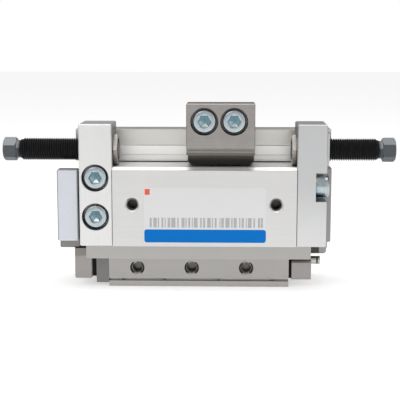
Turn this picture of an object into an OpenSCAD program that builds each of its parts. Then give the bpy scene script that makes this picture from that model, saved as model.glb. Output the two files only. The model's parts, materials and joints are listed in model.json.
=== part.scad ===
// Compact pneumatic slide table: a twin-bore cylinder body carries a guide rail below it,
// and an L-shaped table runs on that rail, pushed by two piston rods through an end plate.
// +X runs along the stroke (the table extends towards -X), +Z is up, -Y is the adjuster side.
// The origin lies on the table's lower face, under the middle of the guide rail.

/* [Stroke] */
// Travel of the table
stroke = 30; // [10:1:30]
// Air gap between the stopper and an adjuster tip at the end of travel
stop_gap = 0.3; // [0.2:0.05:0.6]

/* [Cylinder body] */
// Length of the body
body_len = 99.2; // [98:0.1:108]
// Height of the body
body_h = 41; // [40.5:0.5:46]
// Distance from the rod plane to the front face
body_front = 18.5; // [18:0.1:21]
// Distance from the rod plane to the rear face
body_rear = 10.5; // [10:0.1:12]
// Height of the recessed band along the foot of the front face
band_h = 6; // [4:0.5:8]
// Depth of that recess
band_recess = 2.5; // [1:0.1:4]
// Chamfer along the upper front edge
body_edge = 1.4; // [0.5:0.1:2]

/* [Cylinder bores] */
// Diameter of each cylinder bore
bore_d = 16; // [14:0.5:16.5]
// How far the middle of the two bores lies below the body's middle
bore_drop = 0.9; // [-0.5:0.1:1.1]
// Distance between the two bores
bore_pitch = 18; // [17.5:0.1:19]
// Shoulder left at the rod end of the body
rod_wall = 16.6; // [15:0.1:20]
// Diameter of the piston rods
rod_d = 6; // [5:0.5:6.5]
// Length of a piston
piston_len = 14; // [12:0.5:16]
// Length of a head cap
head_cap_len = 8; // [6:0.5:9]
// Thickness of the end-of-bore bumpers
bumper_t = 1.5; // [1:0.1:2.5]
// Free play left at each end of the piston travel
piston_play = 0.6; // [0.4:0.1:1.5]
// Length of a rod seal
rod_seal_len = 4; // [3:0.5:5]
// Outer diameter of a rod seal
rod_seal_d = 9; // [8.5:0.1:9.2]

/* [Side tapped holes] */
// Distance between the two tapped holes in the front face
side_pitch = 63; // [50:0.5:64]
// Distance from the middle of the body to the middle of that pair
side_shift = 2.6; // [0:0.1:3]
// Height of the pair above the foot of the body
side_rise = 24.4; // [20:0.1:26]
// Depth of the pair
side_depth = 9; // [6:0.5:9.5]

/* [Guide] */
// Length of the steel guide block
guide_len = 80.6; // [76:0.2:84]
// Width of the guide block
guide_w = 21; // [20.6:0.2:22]
// Height of the guide block
guide_h = 9.7; // [9.4:0.1:11]
// Gap between the guide block and the foot of the body
guide_gap = 0.5; // [0.4:0.1:1]
// Width of the rail
rail_w = 7; // [6.6:0.1:7.4]
// Gap between rail and guide block
rail_gap = 0.3; // [0.2:0.05:0.35]
// Diameter of the balls
ball_d = 1.6; // [1.4:0.1:1.8]
// Radial clearance of the ball tracks
ball_gap = 0.04; // [0.02:0.01:0.06]
// Distance between the balls along the track
ball_pitch = 2; // [1.9:0.05:2.6]
// Height of the loaded track above the foot of the guide block
track_rise = 6.9; // [6.6:0.1:7.2]
// Height of the return tunnel above the foot of the guide block
return_rise = 1.3; // [1.25:0.05:1.4]
// Distance from the loaded track out to the return tunnel
return_out = 2; // [1.95:0.05:2.05]
// Pitch of the three tapped holes in the guide block
row_pitch = 24.4; // [20:0.1:24.6]
// Distance from the middle of the guide block to the middle of that row
row_shift = 3.1; // [0:0.1:3.2]
// Height of that row above the foot of the guide block
row_rise = 4.9; // [4.8:0.05:5.1]
// Depth of that row
row_depth = 5; // [4:0.1:5]
// Length of the left return cap
left_cap_t = 5.6; // [4.8:0.1:7]
// Length of the left end seal
left_seal_t = 1.9; // [1.2:0.1:2.5]
// Length of the right return cap
right_cap_t = 8.7; // [6:0.1:9]
// Length of the right end seal
right_seal_t = 1.3; // [1:0.1:1.4]
// How far the left return cap reaches below the guide block
left_cap_drop = 2.1; // [1:0.1:2.6]

/* [Table] */
// Thickness of the table's lower flange
floor_t = 3.7; // [3.5:0.1:6]
// Height of the relief under the guide block's front edge
lip_relief_h = 1.2; // [0.6:0.1:1.4]
// Distance from the rod plane to the front of the lower flange
floor_front = 10; // [9.9:0.05:10.3]
// Gap between the body's rear face and the table
back_gap = 0.5; // [0.4:0.1:1.2]
// Thickness of the table's upright
leg_t = 6.5; // [6.2:0.1:9]
// How far the upright rises above the body
leg_rise = 14.7; // [14:0.1:18]
// Gap between the brackets and the front of the upright
leg_gap = 0.5; // [0.4:0.1:1]
// How far the upright reaches past the end plate's inner face
leg_left_over = 3.1; // [2:0.1:5]
// Step between the upper and the lower strip of the upright's front
strip_step = 0.6; // [0.3:0.1:0.8]
// Height of the lower strips above the body
strip_rise = 7.4; // [6:0.1:9]
// Height of the lug behind the stopper
lug_rise = 9.4; // [8.8:0.1:10.5]
// Gap between the body's top and what passes over it
top_gap = 0.5; // [0.4:0.05:0.9]

/* [Table mounting face] */
// Pitch of the four tapped holes along the stroke
face_pitch_x = 60; // [50:1:70]
// Pitch of the four tapped holes across the stroke
face_pitch_z = 30; // [26:1:31]
// Depth of the pattern's middle below the body's top
face_drop = 18.4; // [17.9:0.1:20]
// Pitch of the two dowel holes
dowel_pitch = 30; // [20:1:40]
// Diameter of the dowel holes
dowel_d = 5; // [4:0.5:5]

/* [End plate] */
// Gap between end plate and left bracket when the table is retracted
plate_gap = 1; // [0.6:0.1:3]
// Thickness of the end plate
plate_t = 9.2; // [8.8:0.1:12]
// Height of the end plate's lower edge above the foot of the body
plate_foot = 3.5; // [3:0.1:4]
// Height of the end plate above that edge
plate_h = 31.6; // [31.3:0.1:33]
// Distance from the rod plane to the end plate's front face
plate_front = 9.5; // [8.5:0.1:10]
// Depth of the front cap on the end plate
plate_cap_depth = 6; // [4:0.1:8]
// Height of the cap's lower edge above the end plate's lower edge
plate_cap_foot = 4.2; // [3:0.1:6]
// Height of the cap
plate_cap_h = 31.8; // [28:0.1:33]
// Pitch of the two tapped holes in the end plate
plate_hole_pitch = 10; // [8.5:0.5:11]
// Length of the block below the end plate
end_block_len = 7.8; // [7.2:0.1:8.6]
// Gap between that block and the end of the body
end_block_gap = 0.7; // [0.5:0.1:1.2]

/* [Brackets] */
// Depth of the brackets where they hold the adjusters
bracket_depth = 20; // [18.6:0.1:20]
// How far the brackets rise above the body
bracket_rise = 18.7; // [15:0.1:22]
// Depth of the pockets that the brackets sit in
seat_depth = 10; // [9.9:0.05:10]
// Length of the left pocket
left_seat = 12.1; // [11:0.1:13]
// How far the left bracket overhangs the body
left_over = 2.4; // [1.5:0.1:4]
// Length of the right pocket
right_seat = 6.6; // [5:0.1:8]
// How far the right bracket overhangs the body
right_over = 6.4; // [6:0.1:7]
// Depth of the right bracket's return round the body's end
return_depth = 14.5; // [13.5:0.1:14.6]
// Depth of the left bracket's upper screw below the body's top
left_screw_drop = 4.8; // [4.2:0.1:5.1]
// Distance between the left bracket's screws
left_screw_pitch = 17.2; // [16.5:0.1:17.6]
// Depth of the right bracket's screw below the body's top
right_screw_drop = 8.7; // [8:0.1:9.5]
// Distance of that screw behind the front face
right_screw_in = 6; // [5.6:0.1:6.2]
// Edge chamfer of brackets, plates and stopper
edge = 0.5; // [0.2:0.1:0.8]

/* [Adjusters] */
// Thread diameter
adj_d = 10; // [8:0.5:10]
// Radial running clearance of the thread
adj_gap = 0.05; // [0.02:0.01:0.1]
// Height of the adjuster axis above the body
adj_rise = 6.9; // [6.6:0.1:7.2]
// Distance of the adjuster axis behind the front face
adj_in = 10; // [9.4:0.1:10]
// Length of the left adjuster
adj_left_len = 51; // [44:0.5:70]
// Length of the right adjuster
adj_right_len = 45.6; // [38:0.1:70]
// Length of the hexagon head
adj_hex_len = 5.8; // [4:0.1:8]
// Width of the hexagon head across flats
adj_hex_af = 10; // [9.8:0.1:13]
// Turn of the left hexagon
left_hex_turn = 22; // [0:1:60]
// Turn of the right hexagon
right_hex_turn = 30; // [0:1:60]
// Width of the lock nuts across flats
nut_af = 13; // [12.6:0.1:13]
// Thickness of the lock nuts
nut_t = 2; // [1.6:0.1:3.5]
// How far an adjuster tip stands out of its nut
tip_out = 0.2; // [0.1:0.05:1]
// Diameter of the bumper in the adjuster tip
tip_bumper_d = 6; // [4:0.1:6.4]
// Depth of that bumper
tip_bumper_t = 3; // [2:0.1:6]

/* [Stopper] */
// Length of the stopper along the stroke
stopper_len = 29.6; // [24:0.1:30]
// How far the stopper stands proud of the body's front face
stopper_out = 4; // [2:0.1:6]
// How far the stopper rises above the upright
stopper_rise = 13.2; // [12:0.1:15]
// Distance between the stopper's screws
stopper_pitch = 12.8; // [12.4:0.1:13]
// Height of those screws above the upright
stopper_screw_rise = 5.5; // [5:0.1:5.6]
// Depth of the space under the stopper's front overhang
overhang_depth = 10; // [8:0.1:11]

/* [Head cover] */
// Thickness of the head cover
cover_t = 9.8; // [9:0.1:12]
// Gap between head cover and right bracket
cover_gap = 0.5; // [0.2:0.1:1]
// Depth of the tapped air ports
port_depth = 6; // [5:0.1:6.5]

/* [Fasteners] */
// M6 head diameter
m6_head_d = 10; // [9.6:0.1:10.2]
// M6 head height
m6_head_h = 6; // [5:0.1:6]
// M6 counterbore diameter
m6_cb_d = 12; // [11.6:0.1:12.2]
// M6 tapping diameter
m6_tap_d = 5; // [4.8:0.05:5.1]
// M6 clearance hole diameter
m6_hole_d = 6.6; // [6.3:0.1:7]
// M5 tapping diameter, used by the air ports
m5_tap_d = 4.2; // [4:0.1:4.3]
// M4 head diameter
m4_head_d = 7; // [6.6:0.1:7.1]
// M4 tapping diameter
m4_tap_d = 3.3; // [3.2:0.05:3.4]
// M3 head diameter
m3_head_d = 5.5; // [5:0.1:5.6]
// M3 head height
m3_head_h = 3; // [2.6:0.1:3]
// M3 tapping diameter
m3_tap_d = 2.5; // [2.4:0.05:2.6]
// Length of the left bracket's screws under the head
left_screw_len = 13; // [11:0.5:13]
// Length of the right bracket's screw under the head
right_screw_len = 18; // [15:0.5:18]
// Length of the head cover's screws
cover_screw_len = 12; // [9:0.5:12]
// Length of the rail's screws
rail_screw_len = 7.2; // [6:0.1:7.2]
// Length of the end block's screw
block_screw_len = 11; // [9:0.5:11]
// Length of the end plate's screws
plate_screw_len = 14; // [11:0.5:14]
// Clearance between a screw and its tapped or plain hole, in radius
screw_gap = 0.05; // [0.02:0.01:0.1]

/* [Hidden] */

eps = 0.01;
cut = 1;             // how far cutting tools run past the faces they open
round_fn = 64;
fine_fn = 32;

// Heights
block_z = floor_t;
body_z = block_z + guide_h + guide_gap;
top_z = body_z + body_h;
band_z = body_z + band_h;
leg_z = top_z + leg_rise;
bracket_z = top_z + bracket_rise;
stopper_z = leg_z + stopper_rise;
adj_z = top_z + adj_rise;
bore_mid_z = body_z + body_h / 2 - bore_drop;
bore_zs = [bore_mid_z - bore_pitch / 2, bore_mid_z + bore_pitch / 2];
over_z = top_z + top_gap;
face_z = top_z - face_drop;

// Depths
front_y = -body_front;
leg_y = body_rear + back_gap;
back_y = leg_y + leg_t;
adj_y = front_y + adj_in;
seat_y = front_y + seat_depth;
bracket_back_y = front_y + bracket_depth;
strip_y = bracket_back_y + leg_gap;
leg_front_y = strip_y + strip_step;
guide_y = guide_w / 2;

// Stations along the stroke
body_x = body_len / 2;
left_in_x = -(body_x - left_seat);
left_out_x = -(body_x + left_over);
right_in_x = body_x - right_seat;
right_out_x = body_x + right_over;
left_tip_x = left_in_x + nut_t + tip_out;
right_tip_x = right_in_x - nut_t - tip_out;
stopper_x = left_tip_x + stroke + stop_gap;
plate_x = left_out_x - plate_gap;
plate_out_x = plate_x - plate_t;
cover_x = body_x + cover_t;
block_x = guide_len / 2;
left_cap_x = -block_x - left_cap_t;
left_seal_x = left_cap_x - left_seal_t;
end_block_x = left_seal_x - end_block_len;
right_cap_x = block_x + right_seal_t;
leg_left_x = plate_x - leg_left_over;

// Cylinder internals
shoulder_x = -body_x + rod_wall;
head_cap_x = body_x - 1 - head_cap_len;
piston_x = head_cap_x - bumper_t - piston_play - piston_len;
rod_cover_end_x = piston_x - stroke - piston_play - bumper_t;
inner_gap = 0.02;    // radial gap of what is fitted into the bores
run_gap = 0.04;      // radial running gap of pistons and rods
gland_wall = 0.35;   // radial gap of a rod in the body's shoulder
gallery_d = 2.2;
gallery_y = 5.2;
gallery_z = bore_mid_z;
port_y = 3.5;
port_zs = [bore_zs[0] + 1.5, bore_zs[1]];

// Guide
rail_y = rail_w / 2;
rail_z = block_z + guide_floor() + rail_gap;
rail_left_x = left_seal_x + 0.7;
channel_y = rail_y + rail_gap;
track_y = rail_y + rail_gap / 2;
track_z = block_z + track_rise;
return_y = track_y + return_out;
return_z = block_z + return_rise;
track_r = ball_d / 2 + ball_gap;
turn_r = norm([return_out, track_rise - return_rise]) / 2;
turn_a = atan2(return_out, track_rise - return_rise);
row_n = 3;
screw_x = [-0.84, -0.38, 0.22, 0.82] * block_x;
rail_screw_n = 4;
rail_screw_pitch = 24;
m2_head_d = 3.8;
m2_tap_d = 1.6;
m2_hole_d = 2.2;
m2_sink = 0.15;      // depth of the M2 heads below the table's lower face
block_screw_y = 7.6;
turn_ball_as = [-55, -10];
function guide_floor() = 1.4;

// ---- building blocks ----

// A prism whose outline lies in the Y-Z plane
module prism_x(points, x0, x1) {
    translate([x0, 0, 0]) rotate([90, 0, 90]) linear_extrude(x1 - x0) polygon(points);
}

// A prism whose outline lies in the X-Z plane
module prism_y(points, y0, y1) {
    translate([0, y1, 0]) rotate([90, 0, 0]) linear_extrude(y1 - y0) polygon(points);
}

// A prism whose outline lies in the X-Y plane
module prism_z(points, z0, z1) {
    translate([0, 0, z0]) linear_extrude(z1 - z0) polygon(points);
}

// Rectangle with its corners cut by c
function octagon(a0, a1, b0, b1, c) = [
    [a0 + c, b0], [a1 - c, b0], [a1, b0 + c], [a1, b1 - c],
    [a1 - c, b1], [a0 + c, b1], [a0, b1 - c], [a0, b0 + c]
];

module box(lo, hi) {
    translate(lo) cube(hi - lo);
}

// Box with all twelve edges chamfered
module edged_box(lo, hi, c = edge) {
    intersection() {
        prism_x(octagon(lo.y, hi.y, lo.z, hi.z, c), lo.x, hi.x);
        prism_y(octagon(lo.x, hi.x, lo.z, hi.z, c), lo.y, hi.y);
        prism_z(octagon(lo.x, hi.x, lo.y, hi.y, c), lo.z, hi.z);
    }
}

module rod_x(d, x0, x1, y, z, fn = round_fn) {
    translate([x0, y, z]) rotate([0, 90, 0]) cylinder(d = d, h = x1 - x0, $fn = fn);
}

module rod_y(d, y0, y1, x, z, fn = round_fn) {
    translate([x, y0, z]) rotate([-90, 0, 0]) cylinder(d = d, h = y1 - y0, $fn = fn);
}

module rod_z(d, z0, z1, x, y, fn = round_fn) {
    translate([x, y, z0]) cylinder(d = d, h = z1 - z0, $fn = fn);
}

// Turned shape: outline of [radius, height] pairs, its axis along X from x
module turned_x(points, x, y, z, fn = round_fn) {
    translate([x, y, z]) rotate([0, 90, 0]) rotate_extrude($fn = fn) polygon(points);
}

// Socket head cap screw along Z: the head stands on z = 0 and the shank points down
module cap_screw(shank_d, length, head_d, head_h, socket_af) {
    bevel = head_d * 0.04;
    difference() {
        rotate_extrude($fn = round_fn) polygon([
            [0, -length], [shank_d / 2 - bevel, -length], [shank_d / 2, -length + bevel], [shank_d / 2, 0],
            [head_d / 2, 0], [head_d / 2, head_h - bevel], [head_d / 2 - bevel, head_h], [0, head_h]
        ]);
        translate([0, 0, head_h * 0.45]) rotate(30)
            cylinder(d = socket_af / cos(30), h = head_h, $fn = 6);
    }
}

// Countersunk screw along Z: the flat head's face is z = 0 and the shank points down
module flat_screw(shank_d, length, head_d, socket_af) {
    head_h = (head_d - shank_d) / 2;
    difference() {
        rotate_extrude($fn = fine_fn) polygon([
            [0, -length], [shank_d / 2, -length], [shank_d / 2, -head_h], [head_d / 2, 0], [0, 0]
        ]);
        translate([0, 0, -head_h]) cylinder(d = socket_af / cos(30), h = head_h + cut, $fn = 6);
    }
}

module m6_screw(length) {
    cap_screw(m6_tap_d - 2 * screw_gap, length, m6_head_d, m6_head_h, 5);
}

// Tapped hole along Y with a countersunk mouth at y
module tapped_y(d, y, depth, x, z) {
    mouth = d * 0.15;
    translate([x, y, z]) rotate([-90, 0, 0]) {
        cylinder(d = d, h = depth, $fn = round_fn);
        translate([0, 0, -eps]) cylinder(d1 = d + 2 * mouth + 2 * eps, d2 = d, h = mouth + eps,
            $fn = round_fn);
    }
}

// ---- cylinder ----

module cylinder_body() {
    color("gainsboro") difference() {
        union() {
            prism_x([
                [front_y, band_z], [front_y + band_recess, band_z], [front_y + band_recess, body_z],
                [body_rear, body_z], [body_rear, top_z], [front_y + body_edge, top_z],
                    [front_y, top_z - body_edge]
            ], -body_x, body_x);
        }
        // pockets for the two brackets
        box([-body_x - cut, front_y - cut, band_z], [left_in_x, seat_y, top_z + cut]);
        box([right_in_x, front_y - cut, band_z], [body_x + cut, seat_y, top_z + cut]);
        // small chamfers at the foot of the recessed band
        for (side = [-1, 1]) prism_y([
            [side * (body_x - edge), body_z - eps], [side * (body_x + cut), body_z - eps],
            [side * (body_x + cut), body_z + edge + cut]
        ], front_y, body_rear);
        for (z = bore_zs) {
            rod_x(bore_d, shoulder_x, body_x + cut, 0, z);
            rod_x(rod_d + 2 * gland_wall, -body_x - cut, shoulder_x + cut, 0, z);
            rod_x(rod_seal_d, -body_x - cut, -body_x + rod_seal_len, 0, z);
        }
        // air gallery to the rod end
        rod_x(gallery_d, rod_cover_end_x + bumper_t + 1, body_x + cut, gallery_y, gallery_z, fine_fn);
        rod_z(gallery_d, bore_zs[0], bore_zs[1], rod_cover_end_x + bumper_t + 2, gallery_y, fine_fn);
        for (side = [-1, 1])
            tapped_y(m6_tap_d, front_y, side_depth, side_shift + side * side_pitch / 2, body_z + side_rise);
        for (i = [0, 1])
            rod_y(m6_tap_d, seat_y - cut, seat_y + 11, left_bracket_mid(), left_screw_z(i));
        rod_x(m6_tap_d, right_in_x - 12, right_in_x + cut, front_y + right_screw_in, right_screw_z());
        for (z = cover_screw_zs()) rod_x(m3_tap_d, body_x - 9, body_x + cut, cover_screw_y(), z, fine_fn);
        for (x = rail_screw_xs()) rod_z(m3_tap_d, body_z - cut, body_z + 2.4, x, 0, fine_fn);
    }
}

function left_bracket_mid() = (left_in_x + left_out_x) / 2 - 0.25;
function left_screw_z(i) = top_z - left_screw_drop - i * left_screw_pitch;
function right_screw_z() = top_z - right_screw_drop;
function cover_screw_y() = body_rear - 2.9;
function cover_screw_zs() = [body_z + 3.1, top_z - 5.1];
function rail_screw_xs() = [for (i = [0:rail_screw_n - 1]) (i - (rail_screw_n - 1) / 2) * rail_screw_pitch];

module rod_covers() {
    color("goldenrod") for (z = bore_zs) difference() {
        turned_x([
            [0, 0], [bore_d / 2 - inner_gap, 0], [bore_d / 2 - inner_gap, rod_cover_end_x - shoulder_x],
                [0, rod_cover_end_x - shoulder_x]
        ], shoulder_x, 0, z);
        rod_x(rod_d + 2 * run_gap, shoulder_x - cut, rod_cover_end_x + cut, 0, z);
    }
}

module bumper_rings(x) {
    for (z = bore_zs) difference() {
        rod_x(bore_d - 2 * inner_gap - 2, x, x + bumper_t, 0, z);
        rod_x(rod_d + 1.6, x - cut, x + bumper_t + cut, 0, z);
    }
}

module rod_bumpers() {
    color("dimgray") bumper_rings(rod_cover_end_x);
}

module head_bumpers() {
    color("dimgray") bumper_rings(head_cap_x - bumper_t);
}

module rod_seals() {
    lip = 0.6;
    color("black") for (z = bore_zs) turned_x([
        [rod_d / 2 + run_gap, 0], [rod_d / 2 + lip, lip], [rod_seal_d / 2 - inner_gap, lip],
        [rod_seal_d / 2 - inner_gap, rod_seal_len], [rod_d / 2 + run_gap, rod_seal_len]
    ], -body_x, 0, z);
}

module head_caps() {
    groove = 1.1;
    color("silver") for (z = bore_zs) difference() {
        rod_x(bore_d - 2 * inner_gap, head_cap_x, head_cap_x + head_cap_len, 0, z);
        rod_x(gallery_d, head_cap_x - cut, head_cap_x + head_cap_len + cut, 0, z, fine_fn);
        turned_x([
            [bore_d / 2 - groove, 0], [bore_d / 2 + cut, 0], [bore_d / 2 + cut, 2 * groove],
                [bore_d / 2 - groove, 2 * groove]
        ], head_cap_x + head_cap_len / 2 - groove, 0, z);
    }
}

module head_cover() {
    cover_y = front_y + return_depth + cover_gap;
    tongue_x = cover_x - 1.8;
    upper_z = band_z - 0.6;
    color("lightgray") difference() {
        union() {
            edged_box([body_x, cover_y, upper_z], [cover_x, body_rear, top_z - 1.7]);
            edged_box([body_x, cover_y, body_z], [tongue_x, body_rear, upper_z + 3 * edge], 2 * edge);
        }
        for (z = port_zs) {
            rod_x(m5_tap_d, cover_x - port_depth, cover_x + cut, port_y, z);
            translate([cover_x - 0.5, port_y, z]) rotate([0, 90, 0])
                cylinder(d1 = m5_tap_d, d2 = m5_tap_d + 1 + 2 * eps, h = 0.5 + eps, $fn = round_fn);
        }
        // galleries: upper port to both bores, lower port to the rod-end gallery
        rod_x(gallery_d, body_x - cut, cover_x - port_depth + cut, port_y, port_zs[1], fine_fn);
        box([body_x - cut, -1.5, bore_zs[0]], [body_x + 1.5, port_y - gallery_d / 2 - 0.4, bore_zs[1] - 2]);
        box([body_x - cut, -1.5, bore_zs[1] - 2 - eps], [body_x + 1.5, port_y, bore_zs[1] + 1]);
        rod_x(gallery_d, body_x + 2.6, cover_x - port_depth + cut, port_y, port_zs[0], fine_fn);
        rod_z(gallery_d, port_zs[0], gallery_z, body_x + 3, gallery_y - 0.4, fine_fn);
        rod_x(gallery_d, body_x - cut, body_x + 3, gallery_y, gallery_z, fine_fn);
        for (z = cover_screw_zs()) {
            rod_x(m3_tap_d + 0.8, body_x - cut, cover_x + cut, cover_screw_y(), z, fine_fn);
            rod_x(m3_head_d + 0.4, cover_x - 4.9, cover_x + cut, cover_screw_y(), z);
        }
    }
}

module head_cover_screws() {
    color("silver") for (z = cover_screw_zs())
        translate([cover_x - 4.9, cover_screw_y(), z]) rotate([0, 90, 0])
            cap_screw(m3_tap_d - 2 * screw_gap, cover_screw_len, m3_head_d, m3_head_h, 2.5);
}

// ---- guide rail ----

module guide_rail() {
    head_depth = 3.2;
    color("silver") difference() {
        prism_x(octagon(-rail_y, rail_y, rail_z, body_z, 0.3), rail_left_x, body_x);
        for (side = [-1, 1]) rod_x(2 * track_r, rail_left_x - cut, body_x + cut, side * track_y, track_z,
            fine_fn);
        for (x = rail_screw_xs()) {
            rod_z(m3_tap_d + 0.8, rail_z - cut, body_z + cut, x, 0, fine_fn);
            rod_z(m3_head_d + 0.3, rail_z - cut, rail_z + head_depth, x, 0);
        }
        rod_x(2.6, body_x - 6, body_x + cut, 0, stop_z(), fine_fn);
    }
}

function stop_z() = rail_z + (body_z - rail_z) * 0.58;

module rail_screws() {
    color("silver") for (x = rail_screw_xs())
        translate([x, 0, rail_z + 3.2]) rotate([180, 0, 0])
            cap_screw(m3_tap_d - 2 * screw_gap, rail_screw_len, m3_head_d, m3_head_h, 2.5);
}

module rail_stop_pin() {
    collar = 3.7;
    color("silver") turned_x([
        [0, -5.5], [1.3 - screw_gap, -5.5], [1.3 - screw_gap, 0], [1.8, 0], [1.8, collar], [1.2, collar],
        [1.2, collar + 0.6], [1.9, collar + 0.6], [1.9, collar + 1.5], [1.7, collar + 1.7], [0, collar + 1.7]
    ], body_x, 0, stop_z(), fine_fn);
}

module rail_stop_ring() {
    color("black") difference() {
        rod_x(3.5, body_x + 3.7, body_x + 4.3, 0, stop_z(), fine_fn);
        rod_x(2.4 + 2 * inner_gap, body_x + 3, body_x + 5, 0, stop_z(), fine_fn);
    }
}

// ---- brackets and adjusters ----

module left_bracket() {
    color("whitesmoke") difference() {
        intersection() {
            prism_x([
                [front_y + edge, band_z], [seat_y, band_z], [seat_y, top_z], [bracket_back_y, top_z],
                [bracket_back_y, bracket_z - edge], [bracket_back_y - edge, bracket_z],
                [front_y + edge, bracket_z], [front_y, bracket_z - edge], [front_y, band_z + edge]
            ], left_out_x, left_in_x);
            prism_y(octagon(left_out_x, left_in_x, band_z, bracket_z, edge), front_y - cut,
                bracket_back_y + cut);
            prism_z(octagon(left_out_x, left_in_x, front_y, bracket_back_y, edge), band_z - cut,
                bracket_z + cut);
        }
        for (i = [0, 1]) m6_counterbore_y(front_y, left_bracket_mid(), left_screw_z(i), seat_depth);
        rod_x(adj_d + 2 * adj_gap, left_out_x - cut, left_in_x + cut, adj_y, adj_z);
    }
}

module m6_counterbore_y(y, x, z, depth) {
    rod_y(m6_cb_d, y - cut, y + m6_head_h + 0.3, x, z);
    rod_y(m6_hole_d, y - cut, y + depth + cut, x, z);
}

module left_bracket_screws() {
    color("lightblue") for (i = [0, 1])
        translate([left_bracket_mid(), front_y + m6_head_h + 0.3, left_screw_z(i)]) rotate([90, 0, 0])
            m6_screw(left_screw_len);
}

module right_bracket() {
    pocket_x = right_out_x - 4.8;
    pocket_h = m6_head_d + 2.6;
    pad = 1;
    color("lightgray") difference() {
        union() {
            intersection() {
                union() {
                    // over the body's top
                    box([right_in_x, front_y, top_z], [right_out_x, bracket_back_y, bracket_z]);
                    // in the pocket of the body and round its end
                    box([right_in_x, front_y, band_z], [right_out_x, seat_y, top_z + eps]);
                    box([body_x, front_y, band_z], [right_out_x, front_y + return_depth, top_z + eps]);
                }
                prism_x(octagon(front_y, bracket_back_y, band_z, bracket_z, edge), right_in_x, right_out_x);
                prism_y(octagon(right_in_x, right_out_x, band_z, bracket_z, edge), front_y, bracket_back_y);
                prism_z(octagon(right_in_x, right_out_x, front_y, bracket_back_y, edge), band_z, bracket_z);
            }
            // raised pad round the adjuster thread
            box([right_out_x - cut, front_y + 2, top_z + edge],
                [right_out_x + pad, bracket_back_y - edge, bracket_z - 4]);
        }
        box([pocket_x, front_y - cut, right_screw_z() - pocket_h / 2],
            [right_out_x + cut, front_y + right_screw_in + m6_cb_d / 2, right_screw_z() + pocket_h / 2]);
        rod_x(m6_hole_d, right_in_x - cut, pocket_x + cut, front_y + right_screw_in, right_screw_z());
        rod_x(adj_d + 2 * adj_gap, right_in_x - cut, right_out_x + pad + cut, adj_y, adj_z);
    }
}

module right_bracket_screw() {
    color("lightblue") translate([right_out_x - 4.8, front_y + right_screw_in, right_screw_z()])
        rotate([0, 90, 0])
        m6_screw(right_screw_len);
}

// Hexagon with both end faces chamfered round its corners, from x = 0 to x = t
module hex_x(af, t, turn) {
    corner_d = af / cos(30);
    rise = (corner_d - af) / 2 * 0.7;
    rotate([0, 90, 0]) intersection() {
        rotate(turn) cylinder(d = corner_d, h = t, $fn = 6);
        rotate_extrude($fn = round_fn) polygon([
            [0, 0], [af / 2, 0], [corner_d / 2, rise], [corner_d / 2, t - rise], [af / 2, t], [0, t]
        ]);
    }
}

module lock_nuts() {
    color("silver") for (x = [left_in_x, right_in_x - nut_t]) difference() {
        translate([x, adj_y, adj_z]) hex_x(nut_af, nut_t, 27);
        rod_x(adj_d + 2 * adj_gap, x - cut, x + nut_t + cut, adj_y, adj_z);
    }
}

// Adjuster with its tip at x = 0 and its head towards +X
module adjuster(length, turn) {
    neck = 2;
    hex_x0 = length - adj_hex_len;
    tip = 0.5;
    difference() {
        union() {
            rotate([0, 90, 0]) rotate_extrude($fn = round_fn) polygon([
                [0, 0], [adj_d / 2 - tip, 0], [adj_d / 2, tip], [adj_d / 2, hex_x0 - neck],
                [adj_d / 2 - 0.6, hex_x0], [adj_d / 2 - 0.6, hex_x0 + eps], [0, hex_x0 + eps]
            ]);
            translate([hex_x0, 0, 0]) hex_x(adj_hex_af, adj_hex_len, turn);
        }
        translate([-cut, 0, 0]) rotate([0, 90, 0])
            cylinder(d = tip_bumper_d, h = tip_bumper_t + cut, $fn = round_fn);
    }
}

module tip_bumper() {
    rotate([0, 90, 0]) cylinder(d = tip_bumper_d - 2 * inner_gap, h = tip_bumper_t, $fn = round_fn);
}

module left_adjuster() {
    color("black") translate([left_tip_x, adj_y, adj_z]) mirror([1, 0, 0])
        adjuster(adj_left_len, left_hex_turn);
}

module left_adjuster_bumper() {
    color("dimgray") translate([left_tip_x, adj_y, adj_z]) mirror([1, 0, 0]) tip_bumper();
}

module right_adjuster() {
    color("black") translate([right_tip_x, adj_y, adj_z]) adjuster(adj_right_len, right_hex_turn);
}

module right_adjuster_bumper() {
    color("dimgray") translate([right_tip_x, adj_y, adj_z]) tip_bumper();
}

// ---- table ----

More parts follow.
